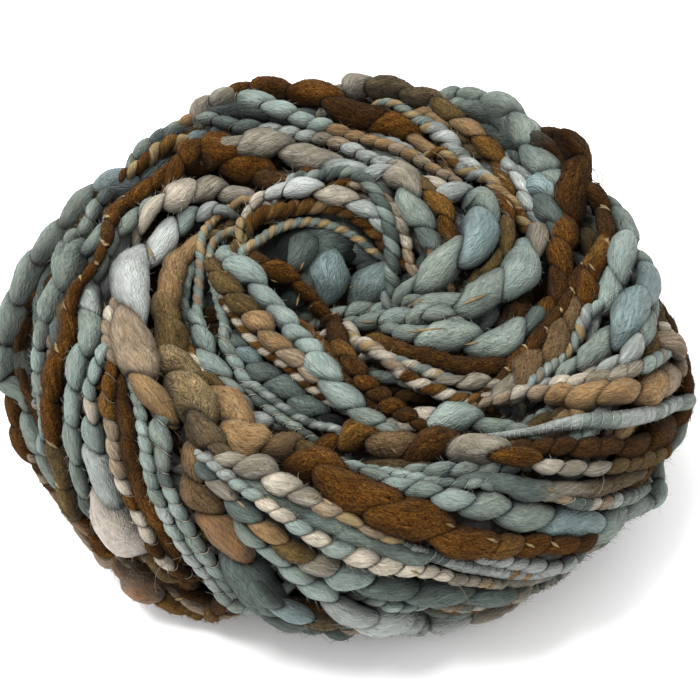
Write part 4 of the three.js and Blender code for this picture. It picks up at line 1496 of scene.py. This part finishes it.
# The loose fibres. Wool is never smooth: short fibres stand up all over it, densely on the lofty brown
# slubs and thinly on the silky ones, and longer ones make the soft halo round the hank.
PICKS_EACH = 3
FIBRE_SHOWN = 5 * MM
FIBRE_FLOOR = 4 * MM
FIBRE_ROOT = 0.25 * MM
FIBRE_CLEAR = 0.4 * MM
FIBRE_DROOP = 0.18
FIBRE_ASIDE, FIBRE_SPREAD = 0.35, 0.45
LEAST_LOFT, MOST_LOFT = 0.35, 0.8
PALE, DARK = (1.2, 2.1), (0.35, 0.75)
PALE_SHARE = 0.65
TONE_SCALE = 700
TONES = (0.75, 1.25)
# A row is the piece, how many fibres, their length and thickness in mm, how far they rise, how much they
# curl, in how many bends, and from how lofty a wool.
FIBRE_ROWS = [
    ("felt_fibres", 38000, (0.9, 2.2), (0.15, 0.25), (0.2, 1.1), 0.60, 0, 0.85),
    ("fine_fibres", 44000, (1.2, 3.2), (0.12, 0.19), (0.2, 1.1), 0.60, 0, 0.0),
    ("long_fibres", 6000, (3.0, 6.5), (0.10, 0.14), (0.05, 0.5), 0.45, 1, 0.0),
    ("halo_fibres", 8100, (1.8, 4.4), (0.07, 0.11), (0.4, 1.4), 0.60, 1, 0.0),
]

loose_wool, tree, shader = new_material("loose_wool")
own_colour = added(tree, "Attribute", {}, attribute_name="wool").outputs["Color"]
place = added(tree, "TexCoord", {}).outputs["Object"]
noise = added(tree, "TexNoise", {"Vector": place, "Scale": TONE_SCALE}).outputs["Fac"]
tone = ranged(tree, noise, 0, 1, *TONES)
tinted = added(tree, "VectorMath", {"Vector": own_colour, "Scale": tone}, operation="SCALE")
fed(tree, shader, {
    "Base Color": tinted.outputs["Vector"], "Roughness": 0.8, "Specular IOR Level": 0.06,
})

wool_places = columns_of(loose_skins, "skin", "outward", "tangents", "wool", "streak")
PLACE, OUTWARD, ALONG, COLOUR, LOFT = slice(0, 3), slice(3, 6), slice(6, 9), slice(9, 12), 16
across = wool_places[wool_faces[:, 2], PLACE] - wool_places[wool_faces[:, 0], PLACE]
beside = wool_places[wool_faces[:, 3], PLACE] - wool_places[wool_faces[:, 1], PLACE]
patch_area = np.linalg.norm(np.cross(across, beside), axis=1) / 2
patch_loft = wool_places[wool_faces, LOFT].mean(axis=1)


def fibre_shape(bends):
    """One fibre, straight and of length one: a fine three-sided spike with a ring at each bend."""
    spike = bmesh.new()
    bmesh.ops.create_cone(spike, cap_ends=True, segments=3, radius1=1, radius2=0, depth=1)
    bmesh.ops.translate(spike, verts=spike.verts, vec=(0, 0, 0.5))
    for k in range(1, bends + 1):
        everything = [*spike.verts, *spike.edges, *spike.faces]
        bmesh.ops.bisect_plane(spike, geom=everything, plane_co=(0, 0, k / (bends + 1)), plane_no=(0, 0, 1))
    bmesh.ops.remove_doubles(spike, verts=spike.verts, dist=1e-4)
    bmesh.ops.triangulate(spike, faces=spike.faces)
    spike.verts.index_update()
    shape = np.array([vert.co[:] for vert in spike.verts])
    faces = np.array([[vert.index for vert in face.verts] for face in spike.faces])
    spike.free()
    return shape, faces


def lies_open(place, outward):
    """Whether a place of the wool lies open, well above the floor and with no other strand close over it."""
    start = place + outward * FIBRE_CLEAR
    return place.z > FIBRE_FLOOR and wound.ray_cast(start, outward, FIBRE_SHOWN)[0] is None


def loose_fibres(name, count, length, thickness, rise, curl, bends, loftiest):
    """Scatters fibres over the wool that shows, combed along the strands, as one piece."""
    dice = np.random.default_rng(count)
    wanted = patch_area * np.clip(patch_loft, LEAST_LOFT, MOST_LOFT) * (patch_loft > loftiest)
    picks = dice.choice(len(wool_faces), size=count * PICKS_EACH, p=wanted / wanted.sum())
    u, v = dice.uniform(0, 1, (2, len(picks), 1))
    a, b, c, d = (wool_places[wool_faces[picks, k]] for k in range(4))
    root = a * (1 - u) * (1 - v) + b * u * (1 - v) + c * u * v + d * (1 - u) * v
    shown = [lies_open(Vector(row[PLACE]), Vector(row[OUTWARD])) for row in root]
    root = root[np.nonzero(shown)[0][:count]]
    count = len(root)
    out, along = unit(root[:, OUTWARD]), unit(root[:, ALONG])
    around = np.cross(out, along)
    way = along * dice.choice((-1, 1, 1), (count, 1))
    way = way + around * dice.normal(FIBRE_ASIDE, FIBRE_SPREAD, (count, 1))
    way = unit(unit(way) + out * dice.uniform(*rise, (count, 1)))
    step = dice.uniform(*length, (count, 1)) * MM / (bends + 1)
    nodes = [root[:, PLACE] - way * FIBRE_ROOT]
    for _ in range(bends + 1):
        nodes.append(nodes[-1] + way * step)
        way = unit(way + dice.normal(0, curl, (count, 3)) - out * FIBRE_DROOP)
    nodes = np.stack(nodes, axis=1)
    nodes[..., 2] = np.maximum(nodes[..., 2], FIBRE_CLEAR)
    shape, faces = fibre_shape(bends)
    level = np.round(shape[:, 2] * (bends + 1)).astype(int)
    ways = unit(np.gradient(nodes, axis=1))
    first = unit(np.cross(ways, out[:, None, :] + 0.01))
    second = np.cross(ways, first)
    half = dice.uniform(*thickness, (count, 1, 1)) / 2 * MM
    places = nodes[:, level] + (first[:, level] * shape[:, :1] + second[:, level] * shape[:, 1:2]) * half
    pale = dice.uniform(0, 1, (count, 1)) < PALE_SHARE
    brighter, darker = dice.uniform(*PALE, (count, 1)), dice.uniform(*DARK, (count, 1))
    colour = root[:, COLOUR] * np.where(pale, brighter, darker)
    faces = (faces[None] + len(shape) * np.arange(count)[:, None, None]).reshape(-1, 3)
    mesh = bpy.data.meshes.new(name)
    mesh.vertices.add(count * len(shape))
    mesh.vertices.foreach_set("co", places.ravel())
    mesh.loops.add(faces.size)
    mesh.loops.foreach_set("vertex_index", faces.ravel().astype(np.int32))
    mesh.polygons.add(len(faces))
    mesh.polygons.foreach_set("loop_start", np.arange(0, faces.size, 3, dtype=np.int32))
    mesh.update(calc_edges=True)
    colours = np.concatenate([np.repeat(colour, len(shape), 0), np.ones((count * len(shape), 1))], axis=1)
    mesh.attributes.new("wool", "FLOAT_COLOR", "POINT").data.foreach_set("color", colours.ravel())
    wool_piece(name, mesh, loose_wool)


for row in FIBRE_ROWS:
    loose_fibres(*row)


# The floor and the light. A white sheet lies under a pale sky, with a soft key light from the upper left
# and a small lamp beside it for the silk's glints.
FLOOR_HALF = 3.0
FLOOR_WHITE = (0.9, 0.9, 0.9, 1)
SKY_STRENGTH = 1.5
LIT_SPOT = Vector((0, 0, 0.04))
# A row is a lamp's side in metres, its strength in watts and its place.
LAMPS = {
    "key_light": (0.9, 22, (-0.45, 0.1, 1.2)),
    "silk_light": (0.22, 6, (-0.45, -0.35, 1.15)),
}

floor_mesh = bpy.data.meshes.new("floor")
sheet = bmesh.new()
bmesh.ops.create_grid(sheet, x_segments=1, y_segments=1, size=FLOOR_HALF)
sheet.to_mesh(floor_mesh)
sheet.free()
floor = bpy.data.objects.new("floor", floor_mesh)
bpy.context.scene.collection.objects.link(floor)
floor_white, tree, shader = new_material("floor_white")
fed(tree, shader, {"Base Color": FLOOR_WHITE, "Roughness": 0.9})
floor_mesh.materials.append(floor_white)

world = bpy.context.scene.world or bpy.data.worlds.new("world")
bpy.context.scene.world = world
world.use_nodes = True
sky = world.node_tree.nodes["Background"]
fed(world.node_tree, sky, {"Color": (1, 1, 1, 1), "Strength": SKY_STRENGTH})
for name, (side, strength, place) in LAMPS.items():
    lamp = bpy.data.objects.new(name, bpy.data.lights.new(name, "AREA"))
    lamp.data.size = side
    lamp.data.energy = strength
    lamp.location = place
    lamp.rotation_mode = "QUATERNION"
    lamp.rotation_quaternion = (LIT_SPOT - lamp.location).to_track_quat("-Z", "Y")
    bpy.context.scene.collection.objects.link(lamp)
bpy.context.scene.view_settings.view_transform = "Standard"
